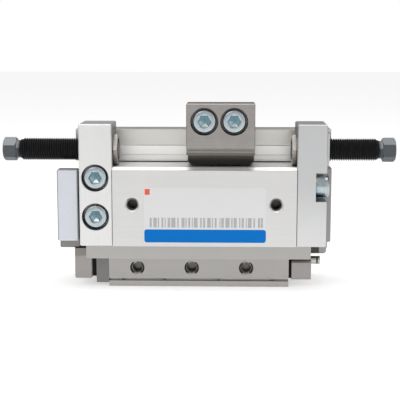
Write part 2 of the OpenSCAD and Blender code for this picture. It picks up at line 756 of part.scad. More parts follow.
module table() {
    lug_inset = 1;
    groove = 0.5;
    color("lightgray") difference() {
        union() {
            // lower flange
            prism_x([
                [-floor_front, 0], [leg_y + cut, 0], [leg_y + cut, floor_t], [-floor_front + 1.5, floor_t],
                [-floor_front + 1.5, floor_t - lip_relief_h], [-floor_front, floor_t - lip_relief_h]
            ], -block_x, block_x);
            // upright with its forward upper part
            prism_x([
                [leg_y, 0], [back_y - edge, 0], [back_y, edge], [back_y, leg_z - 2 * edge],
                [back_y - 2 * edge, leg_z], [leg_front_y, leg_z], [leg_front_y, top_z + strip_rise + 0.4],
                [leg_front_y + groove, top_z + strip_rise + 0.4], [leg_front_y + groove, top_z + strip_rise],
                [strip_y, top_z + strip_rise], [strip_y, over_z], [leg_y, over_z]
            ], leg_left_x, cover_x);
            // lug behind the stopper
            box([stopper_x + lug_inset, leg_front_y, leg_z - cut],
                [stopper_x + stopper_len - lug_inset, back_y - 2 * edge, leg_z + lug_rise]);
        }
        // fine lines along the front of the upright
        for (z = [strip_rise - 4.3, strip_rise - 6.6])
            box([leg_left_x - cut, strip_y - cut, top_z + z],
                [cover_x + cut, strip_y + 0.25, top_z + z + 0.25]);
        // seats of the stopper and the end plate
        box([stopper_x - 0.1, strip_y - cut, top_z - cut],
            [stopper_x + stopper_len + 0.1, leg_front_y, leg_z + cut]);
        box([leg_left_x - cut, leg_y - cut, plate_z()], [plate_x, back_y + cut, plate_z() + plate_h + 0.3]);
        // lower corner beyond the right return cap
        box([right_cap_x + right_cap_t, leg_y - cut, -cut], [cover_x + cut, back_y + cut, body_z]);
        // screws
        for (i = [-1, 1]) rod_y(m6_tap_d, leg_front_y - cut, leg_front_y + 11,
            stopper_mid() + i * stopper_pitch / 2, stopper_screw_z());
        for (z = plate_screw_zs()) rod_x(m4_tap_d, plate_x - cut, plate_x + 11, plate_screw_y(), z, fine_fn);
        for (z = end_block_screw_zs()) {
            rod_y(3.4, leg_y - cut, back_y + cut, end_block_mid(), z, fine_fn);
            rod_y(m3_head_d + 0.4, back_y - 3.3, back_y + cut, end_block_mid(), z);
        }
        for (x = screw_x, side = [-1, 1]) {
            rod_z(m2_hole_d, -cut, floor_t + cut, x, side * block_screw_y, fine_fn);
            translate([x, side * block_screw_y, -eps])
                cylinder(d1 = m2_head_d + 0.5, d2 = m2_hole_d, h = (m2_head_d + 0.5 - m2_hole_d) / 2,
                    $fn = fine_fn);
        }
        // mounting pattern on the rear face
        for (sx = [-1, 1], sz = [-1, 1])
            rod_y(m6_tap_d, leg_y - cut, back_y + cut, sx * face_pitch_x / 2, face_z + sz * face_pitch_z / 2);
        for (sx = [-1, 1]) rod_y(dowel_d, leg_y - cut, back_y + cut, sx * dowel_pitch / 2, face_z);
    }
}

function stopper_mid() = stopper_x + stopper_len / 2 - 0.6;
function stopper_screw_z() = leg_z + stopper_screw_rise;
function plate_z() = body_z + plate_foot;
function plate_screw_y() = back_y - 3.7;
function plate_screw_zs() = [for (i = [-1:1]) plate_z() + plate_h / 2 + i * 11.5];
function end_block_mid() = end_block_x + end_block_len / 2 + 0.2;
function end_block_screw_zs() = [block_z + 4.6];

module guide_block() {
    color("silver") difference() {
        prism_x([
            [-guide_y + 0.3, block_z], [guide_y - 0.3, block_z], [guide_y, block_z + 0.3],
            [guide_y, block_z + guide_h - 0.3], [guide_y - 0.3, block_z + guide_h],
            [channel_y, block_z + guide_h], [channel_y, block_z + guide_floor()],
            [-channel_y, block_z + guide_floor()], [-channel_y, block_z + guide_h],
            [-guide_y + 0.3, block_z + guide_h], [-guide_y, block_z + guide_h - 0.3],
                [-guide_y, block_z + 0.3]
        ], -block_x, block_x);
        for (side = [-1, 1]) {
            rod_x(2 * track_r, -block_x - cut, block_x + cut, side * track_y, track_z, fine_fn);
            rod_x(2 * track_r, -block_x - cut, block_x + cut, side * return_y, return_z, fine_fn);
            for (x = screw_x) rod_z(m2_tap_d, block_z - cut, block_z + 6, x, side * block_screw_y, fine_fn);
            cap_screw_holes(side, block_x - 5, block_x + cut);
            cap_screw_holes(side, -block_x - cut, -block_x + 5);
        }
        for (i = [0:row_n - 1])
            tapped_y(m6_tap_d, -guide_y, row_depth, -row_shift + (i - (row_n - 1) / 2) * row_pitch,
                block_z + row_rise);
    }
}

module guide_block_screws() {
    color("silver") for (x = screw_x, side = [-1, 1])
        translate([x, side * block_screw_y, m2_sink]) rotate([180, 0, 0])
            flat_screw(m2_tap_d - 2 * screw_gap, 8, m2_head_d, 1.3);
}

// Points of one ball circuit, in [x, out, up] with up measured from the return tunnel
function row_xs() = let (n = floor(guide_len / ball_pitch)) [for (i = [0:n - 1]) (i - (n - 1) / 2) * ball_pitch];

module guide_balls() {
    mid_y = (track_y + return_y) / 2;
    mid_z = (track_z + return_z) / 2;
    color("white") for (side = [-1, 1]) {
        for (x = row_xs()) {
            translate([x, side * track_y, track_z]) sphere(d = ball_d, $fn = 24);
            translate([x, side * return_y, return_z]) sphere(d = ball_d, $fn = 24);
        }
        for (a = turn_ball_as) {
            translate([-block_x - turn_r * cos(a), side * (mid_y - turn_r * sin(turn_a) * sin(a)),
                mid_z + turn_r * cos(turn_a) * sin(a)]) sphere(d = ball_d, $fn = 24);
            translate([right_cap_x + turn_r * cos(a), side * (mid_y - turn_r * sin(turn_a) * sin(a)),
                mid_z + turn_r * cos(turn_a) * sin(a)]) sphere(d = ball_d, $fn = 24);
        }
    }
}

// Ring-shaped turn-round of one ball circuit, centred on the plane x
module ball_turn(x, side) {
    mid_y = (track_y + return_y) / 2;
    mid_z = (track_z + return_z) / 2;
    translate([x, side * mid_y, mid_z]) rotate([side * turn_a, 0, 0]) rotate([90, 0, 0])
        rotate_extrude($fn = round_fn) translate([turn_r, 0]) circle(r = track_r, $fn = fine_fn);
}

// Outline of the parts that ride at the ends of the guide block, with the rail's channel cut out
function end_outline(y, z0, z1, floor_z, c, gap) = [
    [-y + c, z0], [y - c, z0], [y, z0 + c], [y, z1 - c], [y - c, z1],
    [rail_y + gap, z1], [rail_y + gap, floor_z], [-rail_y - gap, floor_z], [-rail_y - gap, z1],
    [-y + c, z1], [-y, z1 - c], [-y, z0 + c]
];

function cap_screw_y() = guide_y - 1.6;
function cap_screw_z() = track_z - 1;

module cap_screw_holes(side, x0, x1) {
    rod_x(m2_tap_d, x0, x1, side * cap_screw_y(), cap_screw_z(), fine_fn);
}

module left_return_cap() {
    color("dimgray") difference() {
        prism_x(end_outline(guide_y - 0.2, block_z - left_cap_drop, block_z + guide_h - 0.2,
            block_z + guide_floor(), 0.4, rail_gap),
            left_cap_x, -block_x);
        for (side = [-1, 1]) {
            ball_turn(-block_x, side);
            cap_screw_holes(side, left_cap_x - cut, -block_x + cut);
        }
    }
}

module right_return_cap() {
    color("lightgray") difference() {
        prism_x(end_outline(guide_y, block_z - 0.3, block_z + guide_h - 1.4, block_z + guide_floor(), 0.8,
            rail_gap),
            right_cap_x, right_cap_x + right_cap_t);
        for (side = [-1, 1]) {
            ball_turn(right_cap_x, side);
            cap_screw_holes(side, right_cap_x - cut, right_cap_x + right_cap_t + cut);
        }
    }
}

module end_seal(x0, x1, y, z0, z1) {
    difference() {
        prism_x(end_outline(y, z0, z1, block_z + guide_floor(), 0.3, rail_gap * 0.7), x0, x1);
        for (side = [-1, 1]) cap_screw_holes(side, x0 - cut, x1 + cut);
    }
}

module left_end_seal() {
    color("black") end_seal(left_seal_x, left_cap_x, guide_y - 0.5, block_z + 0.8, block_z + guide_h - 0.3);
}

module right_end_seal() {
    color("black") difference() {
        end_seal(block_x, right_cap_x, guide_y - 0.5, block_z + 0.3, block_z + guide_h - 1);
        for (side = [-1, 1]) {
            rod_x(2 * track_r, block_x - cut, right_cap_x + cut, side * track_y, track_z, fine_fn);
            rod_x(2 * track_r, block_x - cut, right_cap_x + cut, side * return_y, return_z, fine_fn);
        }
    }
}

module return_cap_screws() {
    shank_d = m2_tap_d - 2 * screw_gap;
    color("silver") for (side = [-1, 1]) {
        rod_x(shank_d, left_cap_x + 0.2, -block_x + 4, side * cap_screw_y(), cap_screw_z(), fine_fn);
        rod_x(shank_d, block_x - 4, right_cap_x + right_cap_t - 0.3, side * cap_screw_y(), cap_screw_z(),
            fine_fn);
    }
}

module table_end_block() {
    top = plate_z();
    step_x = -body_x - end_block_gap;
    color("lightgray") difference() {
        intersection() {
            prism_y([
                [end_block_x, block_z + edge], [end_block_x + edge, block_z], [left_seal_x - edge, block_z],
                [left_seal_x, block_z + edge], [left_seal_x, body_z - guide_gap],
                    [step_x, body_z - guide_gap],
                [step_x, top], [end_block_x, top]
            ], -guide_y, leg_y);
            prism_z(octagon(end_block_x, left_seal_x, -guide_y, leg_y + edge, edge), block_z - cut,
                top + cut);
        }
        for (z = end_block_screw_zs()) rod_y(m3_tap_d, leg_y - 9, leg_y + cut, end_block_mid(), z, fine_fn);
    }
}

module end_block_screws() {
    color("silver") for (z = end_block_screw_zs())
        translate([end_block_mid(), back_y - 3.3, z]) rotate([-90, 0, 0])
            cap_screw(m3_tap_d - 2 * screw_gap, block_screw_len, m3_head_d, m3_head_h, 2.5);
}

// ---- stopper ----

module stopper() {
    y0 = front_y - stopper_out;
    y1 = leg_front_y;
    foot_y = y0 + overhang_depth;
    nose_z = adj_z - 1.2;
    x1 = stopper_x + stopper_len;
    foot_inset = 0.3;
    color("rosybrown") difference() {
        intersection() {
            prism_x([
                [y0 + edge, stopper_z], [y0, stopper_z - edge], [y0, nose_z + 3.5], [y0 + 1, nose_z + 2.5],
                [y0 + 2, nose_z + 2.5], [y0 + 2, nose_z + 1.7], [y0 + 1.4, nose_z + 1.7], [y0 + 1.4, nose_z],
                [foot_y, nose_z], [foot_y, over_z], [y1, over_z], [y1, stopper_z - 1.2],
                [y0 + 12.3, stopper_z - 1.2], [y0 + 12.3, stopper_z]
            ], stopper_x, x1);
            prism_y([
                [stopper_x + edge, stopper_z], [stopper_x, stopper_z - edge], [stopper_x, nose_z],
                [stopper_x + foot_inset, nose_z], [stopper_x + foot_inset, over_z + 1.5],
                    [stopper_x + foot_inset + 1.5, over_z],
                [x1 - foot_inset - 1.5, over_z], [x1 - foot_inset, over_z + 1.5], [x1 - foot_inset, nose_z],
                [x1, nose_z], [x1, stopper_z - edge], [x1 - edge, stopper_z]
            ], y0, y1);
            prism_z(octagon(stopper_x, x1, y0, y1 + edge, edge), over_z - cut, stopper_z + cut);
        }
        for (i = [-1, 1]) m6_counterbore_y(y0, stopper_mid() + i * stopper_pitch / 2, stopper_screw_z(),
            y1 - y0);
    }
}

module stopper_screws() {
    color("lightblue") for (i = [-1, 1])
        translate([stopper_mid() + i * stopper_pitch / 2, front_y - stopper_out + m6_head_h + 0.3,
            stopper_screw_z()])
            rotate([90, 0, 0]) m6_screw(leg_front_y - front_y + stopper_out - m6_head_h + 9);
}

// ---- end plate and rods ----

module end_plate() {
    z0 = plate_z();
    color("lightgray") difference() {
        edged_box([plate_out_x, -plate_front, z0], [plate_x, back_y, z0 + plate_h]);
        for (z = bore_zs) {
            rod_x(11, plate_out_x - cut, plate_out_x + 4.5, 0, z);
            rod_x(bush_d(), plate_out_x + 4, plate_x + cut, 0, z);
        }
        for (z = plate_screw_zs()) {
            rod_x(4.5, plate_out_x - cut, plate_x + cut, plate_screw_y(), z);
            rod_x(m4_head_d + 0.2, plate_out_x - cut, plate_out_x + 4.3, plate_screw_y(), z);
        }
        for (i = [-1, 1]) rod_x(m4_tap_d, plate_out_x - cut, plate_x + cut, 1 + i * plate_hole_pitch / 2,
            gallery_z);
        for (z = cap_pin_zs()) rod_y(3, -plate_front - cut, -plate_front + 3, (plate_x + plate_out_x) / 2,
            z, fine_fn);
    }
}

function bush_d() = rod_d + 2.6;
function cap_pin_zs() = [plate_z() + plate_cap_foot + 3.5, plate_z() + plate_h - 2.5];

module end_plate_screws() {
    color("silver") for (z = plate_screw_zs())
        translate([plate_out_x + 4.3, plate_screw_y(), z]) rotate([0, -90, 0])
            cap_screw(m4_tap_d - 2 * screw_gap, plate_screw_len, m4_head_d, 4, 3);
}

module end_plate_cap() {
    z0 = plate_z() + plate_cap_foot;
    y1 = -plate_front;
    color("lavender") difference() {
        edged_box([plate_out_x, y1 - plate_cap_depth, z0], [plate_x, y1, z0 + plate_cap_h]);
        for (z = cap_pin_zs()) rod_y(3, y1 - 3, y1 + cut, (plate_x + plate_out_x) / 2, z, fine_fn);
    }
}

module end_cap_pins() {
    color("silver") for (z = cap_pin_zs())
        rod_y(3 - 2 * inner_gap, -plate_front - 2.8, -plate_front + 2.8, (plate_x + plate_out_x) / 2, z,
            fine_fn);
}

module piston_rods() {
    color("silver") for (z = bore_zs) difference() {
        union() {
            rod_x(rod_d, plate_out_x + 4.6, piston_x, 0, z);
            rod_x(rod_d * 0.7, piston_x - cut, piston_x + piston_len - 2, 0, z);
        }
        rod_x(m3_tap_d, plate_out_x + 4, plate_out_x + 14, 0, z, fine_fn);
    }
}

function piston_groove(x, w) = [
    [bore_d / 2 - 2, x], [bore_d / 2 + cut, x], [bore_d / 2 + cut, x + w], [bore_d / 2 - 2, x + w]
];
seal_at = 2.2;
seal_w = 2.4;
magnet_at = 7.4;
magnet_w = 3;

module pistons() {
    color("silver") for (z = bore_zs) difference() {
        turned_x([
            [0, 0], [bore_d / 2 - 1, 0], [bore_d / 2 - run_gap, 1], [bore_d / 2 - run_gap, piston_len - 1],
            [bore_d / 2 - 1, piston_len], [0, piston_len]
        ], piston_x, 0, z);
        turned_x(piston_groove(seal_at, seal_w), piston_x, 0, z);
        turned_x(piston_groove(magnet_at, magnet_w), piston_x, 0, z);
        rod_x(rod_d * 0.7 + 2 * inner_gap, piston_x - cut, piston_x + piston_len - 2 + eps, 0, z);
    }
}

module piston_seals() {
    color("black") for (z = bore_zs) turned_x([
        [bore_d / 2 - 2 + inner_gap, 0.1], [bore_d / 2 - 0.7, 0.1], [bore_d / 2 - run_gap, 0.5],
        [bore_d / 2 - 0.6, seal_w / 2], [bore_d / 2 - run_gap, seal_w - 0.5],
            [bore_d / 2 - 0.7, seal_w - 0.1],
        [bore_d / 2 - 2 + inner_gap, seal_w - 0.1]
    ], piston_x + seal_at, 0, z);
}

module piston_magnets() {
    color("dimgray") for (z = bore_zs) turned_x([
        [bore_d / 2 - 2 + inner_gap, 0.1], [bore_d / 2 - 0.3, 0.1], [bore_d / 2 - 0.3, magnet_w - 0.1],
        [bore_d / 2 - 2 + inner_gap, magnet_w - 0.1]
    ], piston_x + magnet_at, 0, z);
}

module floating_bushes() {
    x0 = plate_out_x + 4.6;
    color("goldenrod") for (z = bore_zs) difference() {
        rod_x(bush_d() - 0.2, x0, plate_x - 0.2, 0, z);
        rod_x(rod_d + 2 * inner_gap, x0 - cut, plate_x + cut, 0, z);
    }
}

module rod_end_screws() {
    color("silver") for (z = bore_zs)
        translate([plate_out_x + 4.5, 0, z]) rotate([0, -90, 0]) difference() {
            rotate_extrude($fn = round_fn) polygon([
                [0, -8], [m3_tap_d / 2 - screw_gap, -8], [m3_tap_d / 2 - screw_gap, 0], [4.8, 0], [4.8, 1.2],
                [3.4, 1.4], [3.1, 3.3], [2.6, 3.7], [0, 3.7]
            ]);
            translate([0, 0, 1.8]) cylinder(d = 2.5 / cos(30), h = 3, $fn = 6);
        }
}

cylinder_body();
rod_covers();
rod_bumpers();
rod_seals();
head_caps();
head_bumpers();
head_cover();
head_cover_screws();
guide_rail();
rail_screws();
rail_stop_pin();
rail_stop_ring();
left_bracket();
left_bracket_screws();
right_bracket();
right_bracket_screw();
lock_nuts();
left_adjuster();
left_adjuster_bumper();
right_adjuster();
right_adjuster_bumper();
table();
guide_block();
guide_block_screws();
guide_balls();
left_return_cap();
right_return_cap();
left_end_seal();
right_end_seal();
return_cap_screws();
table_end_block();
end_block_screws();
stopper();
stopper_screws();
end_plate();
end_plate_screws();
end_plate_cap();
end_cap_pins();
piston_rods();
pistons();
piston_seals();
piston_magnets();
floating_bushes();
rod_end_screws();
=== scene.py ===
import json
import math

import bmesh
import bpy
from mathutils import Matrix, Vector


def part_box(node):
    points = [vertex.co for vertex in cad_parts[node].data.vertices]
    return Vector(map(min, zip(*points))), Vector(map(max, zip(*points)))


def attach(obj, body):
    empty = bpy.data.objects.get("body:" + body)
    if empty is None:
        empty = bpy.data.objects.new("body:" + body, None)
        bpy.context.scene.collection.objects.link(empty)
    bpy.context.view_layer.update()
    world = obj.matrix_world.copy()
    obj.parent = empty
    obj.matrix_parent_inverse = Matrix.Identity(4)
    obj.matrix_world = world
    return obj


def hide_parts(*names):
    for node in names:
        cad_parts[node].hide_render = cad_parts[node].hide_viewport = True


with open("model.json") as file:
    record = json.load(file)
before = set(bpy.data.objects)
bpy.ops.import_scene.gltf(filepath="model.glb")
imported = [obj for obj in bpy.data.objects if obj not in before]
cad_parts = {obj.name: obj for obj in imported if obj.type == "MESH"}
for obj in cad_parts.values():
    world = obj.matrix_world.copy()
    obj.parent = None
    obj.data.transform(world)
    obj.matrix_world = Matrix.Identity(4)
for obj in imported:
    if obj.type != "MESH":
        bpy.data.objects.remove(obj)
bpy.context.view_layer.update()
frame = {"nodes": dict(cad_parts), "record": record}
nodes = frame["nodes"]
mounts = {mount["name"]: mount for mount in frame["record"]["mounts"]}
mm = 0.001
flatSpan = 60                    # degrees of a turn that one flat of a hexagon takes
print("frame loaded:", len(nodes), "solids")


def finishPiece(bm, name, material, body, replaced=(), sharpAngle=32, weld=1e-7):
    # welds a mesh, turns its faces outwards, marks its sharp edges and sets it on its body
    bmesh.ops.remove_doubles(bm, verts=bm.verts[:], dist=weld)
    bmesh.ops.recalc_face_normals(bm, faces=bm.faces[:])
    for face in bm.faces:
        face.smooth = True
    for edge in bm.edges:
        edge.smooth = len(edge.link_faces) == 2 and edge.calc_face_angle(0) < math.radians(sharpAngle)
    mesh = bpy.data.meshes.new(name)
    bm.to_mesh(mesh)
    bm.free()
    mesh.materials.append(material)
    piece = bpy.data.objects.new(name, mesh)
    bpy.context.scene.collection.objects.link(piece)
    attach(piece, body)
    if replaced:
        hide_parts(*replaced)
    return piece


def placeAt(point, direction):
    # turns local +Z to the direction and moves the origin to the point
    return Matrix.Translation(Vector(point)) @ Vector(direction).to_track_quat("Z", "Y").to_matrix().to_4x4()


def freshVerts(bm):
    # the points made since the last shape in this mesh was settled
    return [vert for vert in bm.verts if not vert.tag]


def settle(bm, place):
    # moves the fresh points to their place
    bmesh.ops.transform(bm, matrix=place, verts=freshVerts(bm))
    for vert in bm.verts:
        vert.tag = True


def lathe(bm, profile, place, steps=48):
    # turns (radius, height) points about local Z; the ends lie on the axis
    verts = [bm.verts.new((radius, 0, height)) for radius, height in profile]
    edges = [bm.edges.new(pair) for pair in zip(verts, verts[1:])]
    bmesh.ops.spin(bm, geom=verts + edges, cent=(0, 0, 0), axis=(0, 0, 1), angle=math.tau, steps=steps,
                   use_merge=True)
    settle(bm, place)


def growRings(bm, count, rings, place, caps=True):
    # one loop of points grown ring by ring: (radius, height, whether it has six flats, slope of its corners)
    verts = bmesh.ops.create_circle(bm, segments=count, radius=1.0)["verts"]
    loop = list({edge for vert in verts for edge in vert.link_edges})
    first = list(loop)
    for index, (radius, height, flats, slope) in enumerate(rings):
        if index:
            grown = bmesh.ops.extrude_edge_only(bm, edges=loop)["geom"]
            verts = [item for item in grown if isinstance(item, bmesh.types.BMVert)]
            fresh = set(verts)
            loop = [item for item in grown if isinstance(item, bmesh.types.BMEdge)
                    and item.verts[0] in fresh and item.verts[1] in fresh]
        for vert in verts:
            angle = math.atan2(vert.co.y, vert.co.x)
            offset = math.degrees(angle) % flatSpan - flatSpan / 2
            reach = radius / math.cos(math.radians(offset)) if flats else radius
            vert.co = (reach * math.cos(angle), reach * math.sin(angle), height - slope * (reach - radius))
    if caps:
        for end in (first, loop):
            bmesh.ops.contextual_create(bm, geom=end)
    settle(bm, place)


def addRidge(bm, section, pitch, turns, steps=24):
    # one screw-shaped ridge about local Z, from a closed section of (radius, height) points; left unsettled
    face = bm.faces.new([bm.verts.new((radius, 0, height)) for radius, height in section])
    count = round(turns * steps)
    bmesh.ops.spin(bm, geom=[face], cent=(0, 0, 0), axis=(0, 0, 1), dvec=(0, 0, pitch / steps),
                   angle=math.tau * count / steps, steps=count)
    bmesh.ops.holes_fill(bm, edges=bm.edges[:], sides=len(section))


def roundedPlate(bm, lo, hi, radius, steps=5):
    # a flat plate in the XZ plane with four round corners
    bmesh.ops.create_cube(bm, size=1)
    size = Vector(hi) - Vector(lo)
    bmesh.ops.scale(bm, vec=size, verts=freshVerts(bm))
    bmesh.ops.translate(bm, vec=(Vector(hi) + Vector(lo)) / 2, verts=freshVerts(bm))
    if radius:
        corners = [edge for edge in bm.edges if not edge.verts[0].tag
                   and abs(edge.verts[0].co.y - edge.verts[1].co.y) > size.y / 2]
        bmesh.ops.bevel(bm, geom=corners, offset=radius, affect="EDGES", segments=steps, profile=0.5,
                        material=-1)
    settle(bm, Matrix())


effects = dict(
    edgeSamples=6,
    edgeTurn=(0.02, 0.25),       # how far a corner turns the normal before it gets the worn colour and painted highlight
    noiseRange=(0.3, 0.7),       # the part of a noise that is spread over the whole range
    bumpDistance=0.1 * mm,
    recessShadeSamples=8,
    recessShadeFloor=0.05,            # how open the deepest places are
)


def newGroup(name, inputs, outputs):
    tree = bpy.data.node_groups.new(name, "ShaderNodeTree")
    for label, kind, value in inputs:
        socket = tree.interface.new_socket(name=label, in_out="INPUT", socket_type=kind)
        if value is not None:
            socket.default_value = value
    for label, kind in outputs:
        tree.interface.new_socket(name=label, in_out="OUTPUT", socket_type=kind)
    return tree, tree.nodes.new("NodeGroupInput"), tree.nodes.new("NodeGroupOutput")


def feed(tree, socket, value):
    # links a socket to another, or sets its number or colour
    if isinstance(value, bpy.types.NodeSocket):
        tree.links.new(value, socket)
    elif isinstance(value, tuple):
        socket.default_value = (*value, 1.0)
    else:
        socket.default_value = value


def mathNode(tree, operation, first, second):
    node = tree.nodes.new("ShaderNodeMath")
    node.operation = operation
    feed(tree, node.inputs[0], first)
    feed(tree, node.inputs[1], second)
    return node.outputs[0]


def rampNode(tree, value, low, high, start=0.0, end=1.0):
    node = tree.nodes.new("ShaderNodeMapRange")
    node.interpolation_type = "SMOOTHSTEP"
    for label, number in (("Value", value), ("From Min", low), ("From Max", high), ("To Min", start),
                          ("To Max", end)):
        feed(tree, node.inputs[label], number)
    return node.outputs["Result"]


def mixColors(tree, factor, first, second):
    node = tree.nodes.new("ShaderNodeMix")
    node.data_type = "RGBA"
    node.clamp_factor = True
    feed(tree, node.inputs["Factor"], factor)
    feed(tree, node.inputs[6], first)
    feed(tree, node.inputs[7], second)
    return node.outputs[2]


def splitAxes(tree, vector):
    node = tree.nodes.new("ShaderNodeSeparateXYZ")
    tree.links.new(vector, node.inputs[0])
    return node.outputs


def buildEdgeWearAndHighlight():
    # the corners of a machined piece: a softened normal and a mask of its edges, for their wear and a painted
    # highlight
    tree, source, sink = newGroup("machinedEdge", [("Radius", "NodeSocketFloat", 0.0003)],
                                  [("Normal", "NodeSocketVector"), ("Edge", "NodeSocketFloat")])
    bevel = tree.nodes.new("ShaderNodeBevel")
    bevel.samples = effects["edgeSamples"]
    geometry = tree.nodes.new("ShaderNodeNewGeometry")
    tree.links.new(source.outputs["Radius"], bevel.inputs["Radius"])
    dot = tree.nodes.new("ShaderNodeVectorMath")
    dot.operation = "DOT_PRODUCT"
    tree.links.new(bevel.outputs[0], dot.inputs[0])
    tree.links.new(geometry.outputs["True Normal"], dot.inputs[1])
    turned = mathNode(tree, "SUBTRACT", 1.0, dot.outputs["Value"])
    tree.links.new(rampNode(tree, turned, *effects["edgeTurn"]), sink.inputs["Edge"])
    tree.links.new(bevel.outputs[0], sink.inputs["Normal"])
    return tree


def buildSurfaceGrain():
    # tool marks stretched along one axis, a fine blasted grain and a slow change of tone
    tree, source, sink = newGroup(
        "surfaceGrain",
        [("Vector", "NodeSocketVector", None), ("Normal", "NodeSocketVector", None),
         ("Stretch", "NodeSocketVector", (1.0, 1.0, 1.0)), ("Line Scale", "NodeSocketFloat", 900.0),
         ("Grain Scale", "NodeSocketFloat", 2500.0), ("Line Height", "NodeSocketFloat", 0.02),
         ("Grain Height", "NodeSocketFloat", 0.02), ("Cloud Scale", "NodeSocketFloat", 30.0)],
        [("Normal", "NodeSocketVector"), ("Lines", "NodeSocketFloat"), ("Grain", "NodeSocketFloat"),
         ("Cloud", "NodeSocketFloat")])
    stretch = tree.nodes.new("ShaderNodeVectorMath")
    stretch.operation = "MULTIPLY"
    tree.links.new(source.outputs["Vector"], stretch.inputs[0])
    tree.links.new(source.outputs["Stretch"], stretch.inputs[1])
    fields = {}
    for label, vector, scale, detail in (("Lines", stretch.outputs[0], "Line Scale", 3.0),
                                         ("Grain", source.outputs["Vector"], "Grain Scale", 2.0),
                                         ("Cloud", source.outputs["Vector"], "Cloud Scale", 4.0)):
        noise = tree.nodes.new("ShaderNodeTexNoise")
        noise.inputs["Detail"].default_value = detail
        tree.links.new(vector, noise.inputs["Vector"])
        tree.links.new(source.outputs[scale], noise.inputs["Scale"])
        fields[label] = rampNode(tree, noise.outputs["Fac"], *effects["noiseRange"])
        tree.links.new(fields[label], sink.inputs[label])
    normal = source.outputs["Normal"]
    for label, height in (("Lines", "Line Height"), ("Grain", "Grain Height")):
        bump = tree.nodes.new("ShaderNodeBump")
        bump.inputs["Distance"].default_value = effects["bumpDistance"]
        tree.links.new(fields[label], bump.inputs["Height"])
        tree.links.new(source.outputs[height], bump.inputs["Strength"])
        tree.links.new(normal, bump.inputs["Normal"])
        normal = bump.outputs["Normal"]
    tree.links.new(normal, sink.inputs["Normal"])
    return tree


def buildRecessShade():
    # painted shade in holes, slots and joints: how deep a place lies in one, 0 in the open and 1 at the
    # bottom
    tree, source, sink = newGroup("hollow", [("Distance", "NodeSocketFloat", 0.003),
                                             ("Open", "NodeSocketFloat", 0.75)],
                                  [("Depth", "NodeSocketFloat")])
    shade = tree.nodes.new("ShaderNodeAmbientOcclusion")
    shade.samples = effects["recessShadeSamples"]
    tree.links.new(source.outputs["Distance"], shade.inputs["Distance"])
    depth = rampNode(tree, shade.outputs["AO"], effects["recessShadeFloor"], source.outputs["Open"], 1.0, 0.0)
    tree.links.new(depth, sink.inputs["Depth"])
    return tree


groups = {"edge": buildEdgeWearAndHighlight(), "grain": buildSurfaceGrain(), "hollow": buildRecessShade()}
print("shader groups built:", len(groups))

baseLook = dict(
    color=(0.6, 0.6, 0.6),
    toneSpread=0.05,             # how far the colour drifts over the surface
    toneWeights=dict(Cloud=0.5, Lines=0.3, Grain=0.2),
    zones={},                    # places with a colour of their own, among them painted highlights and painted shade: where they lie and which way they face
    edgeColor=None,              # colour of worn corners, lighter also as a painted highlight
    edgeShare=0.5,
    edgeRadius=0.3 * mm,
    # painted shade in holes, slots and joints: its colour, share and reach
    recessShadeColor=(0.05, 0.05, 0.05),
    hollowShare=0.0,
    hollowReach=3 * mm,
    recessShadeOpen=0.75,             # how open a place has to be to stay free of the painted shade
    glintColor=None,             # painted highlight on a hole's walls where they face up
    glintTurn=(0.30, 0.42),
    shadeColor=None,             # and painted shade on them where they face down
    shadeTurn=(0.15, -0.15),
    metallic=1.0,
    roughness=0.35,
    roughnessSpread=0.08,
    specular=0.5,
    stretch=(1.0, 1.0, 1.0),
    lineScale=900.0,
    lineHeight=0.05,
    grainScale=2500.0,
    grainHeight=0.05,
    cloudScale=30.0,
)


def placeGroup(tree, name, values):
    node = tree.nodes.new("ShaderNodeGroup")
    node.node_tree = groups[name]
    for label, value in values.items():
        node.inputs[label].default_value = value
    return node


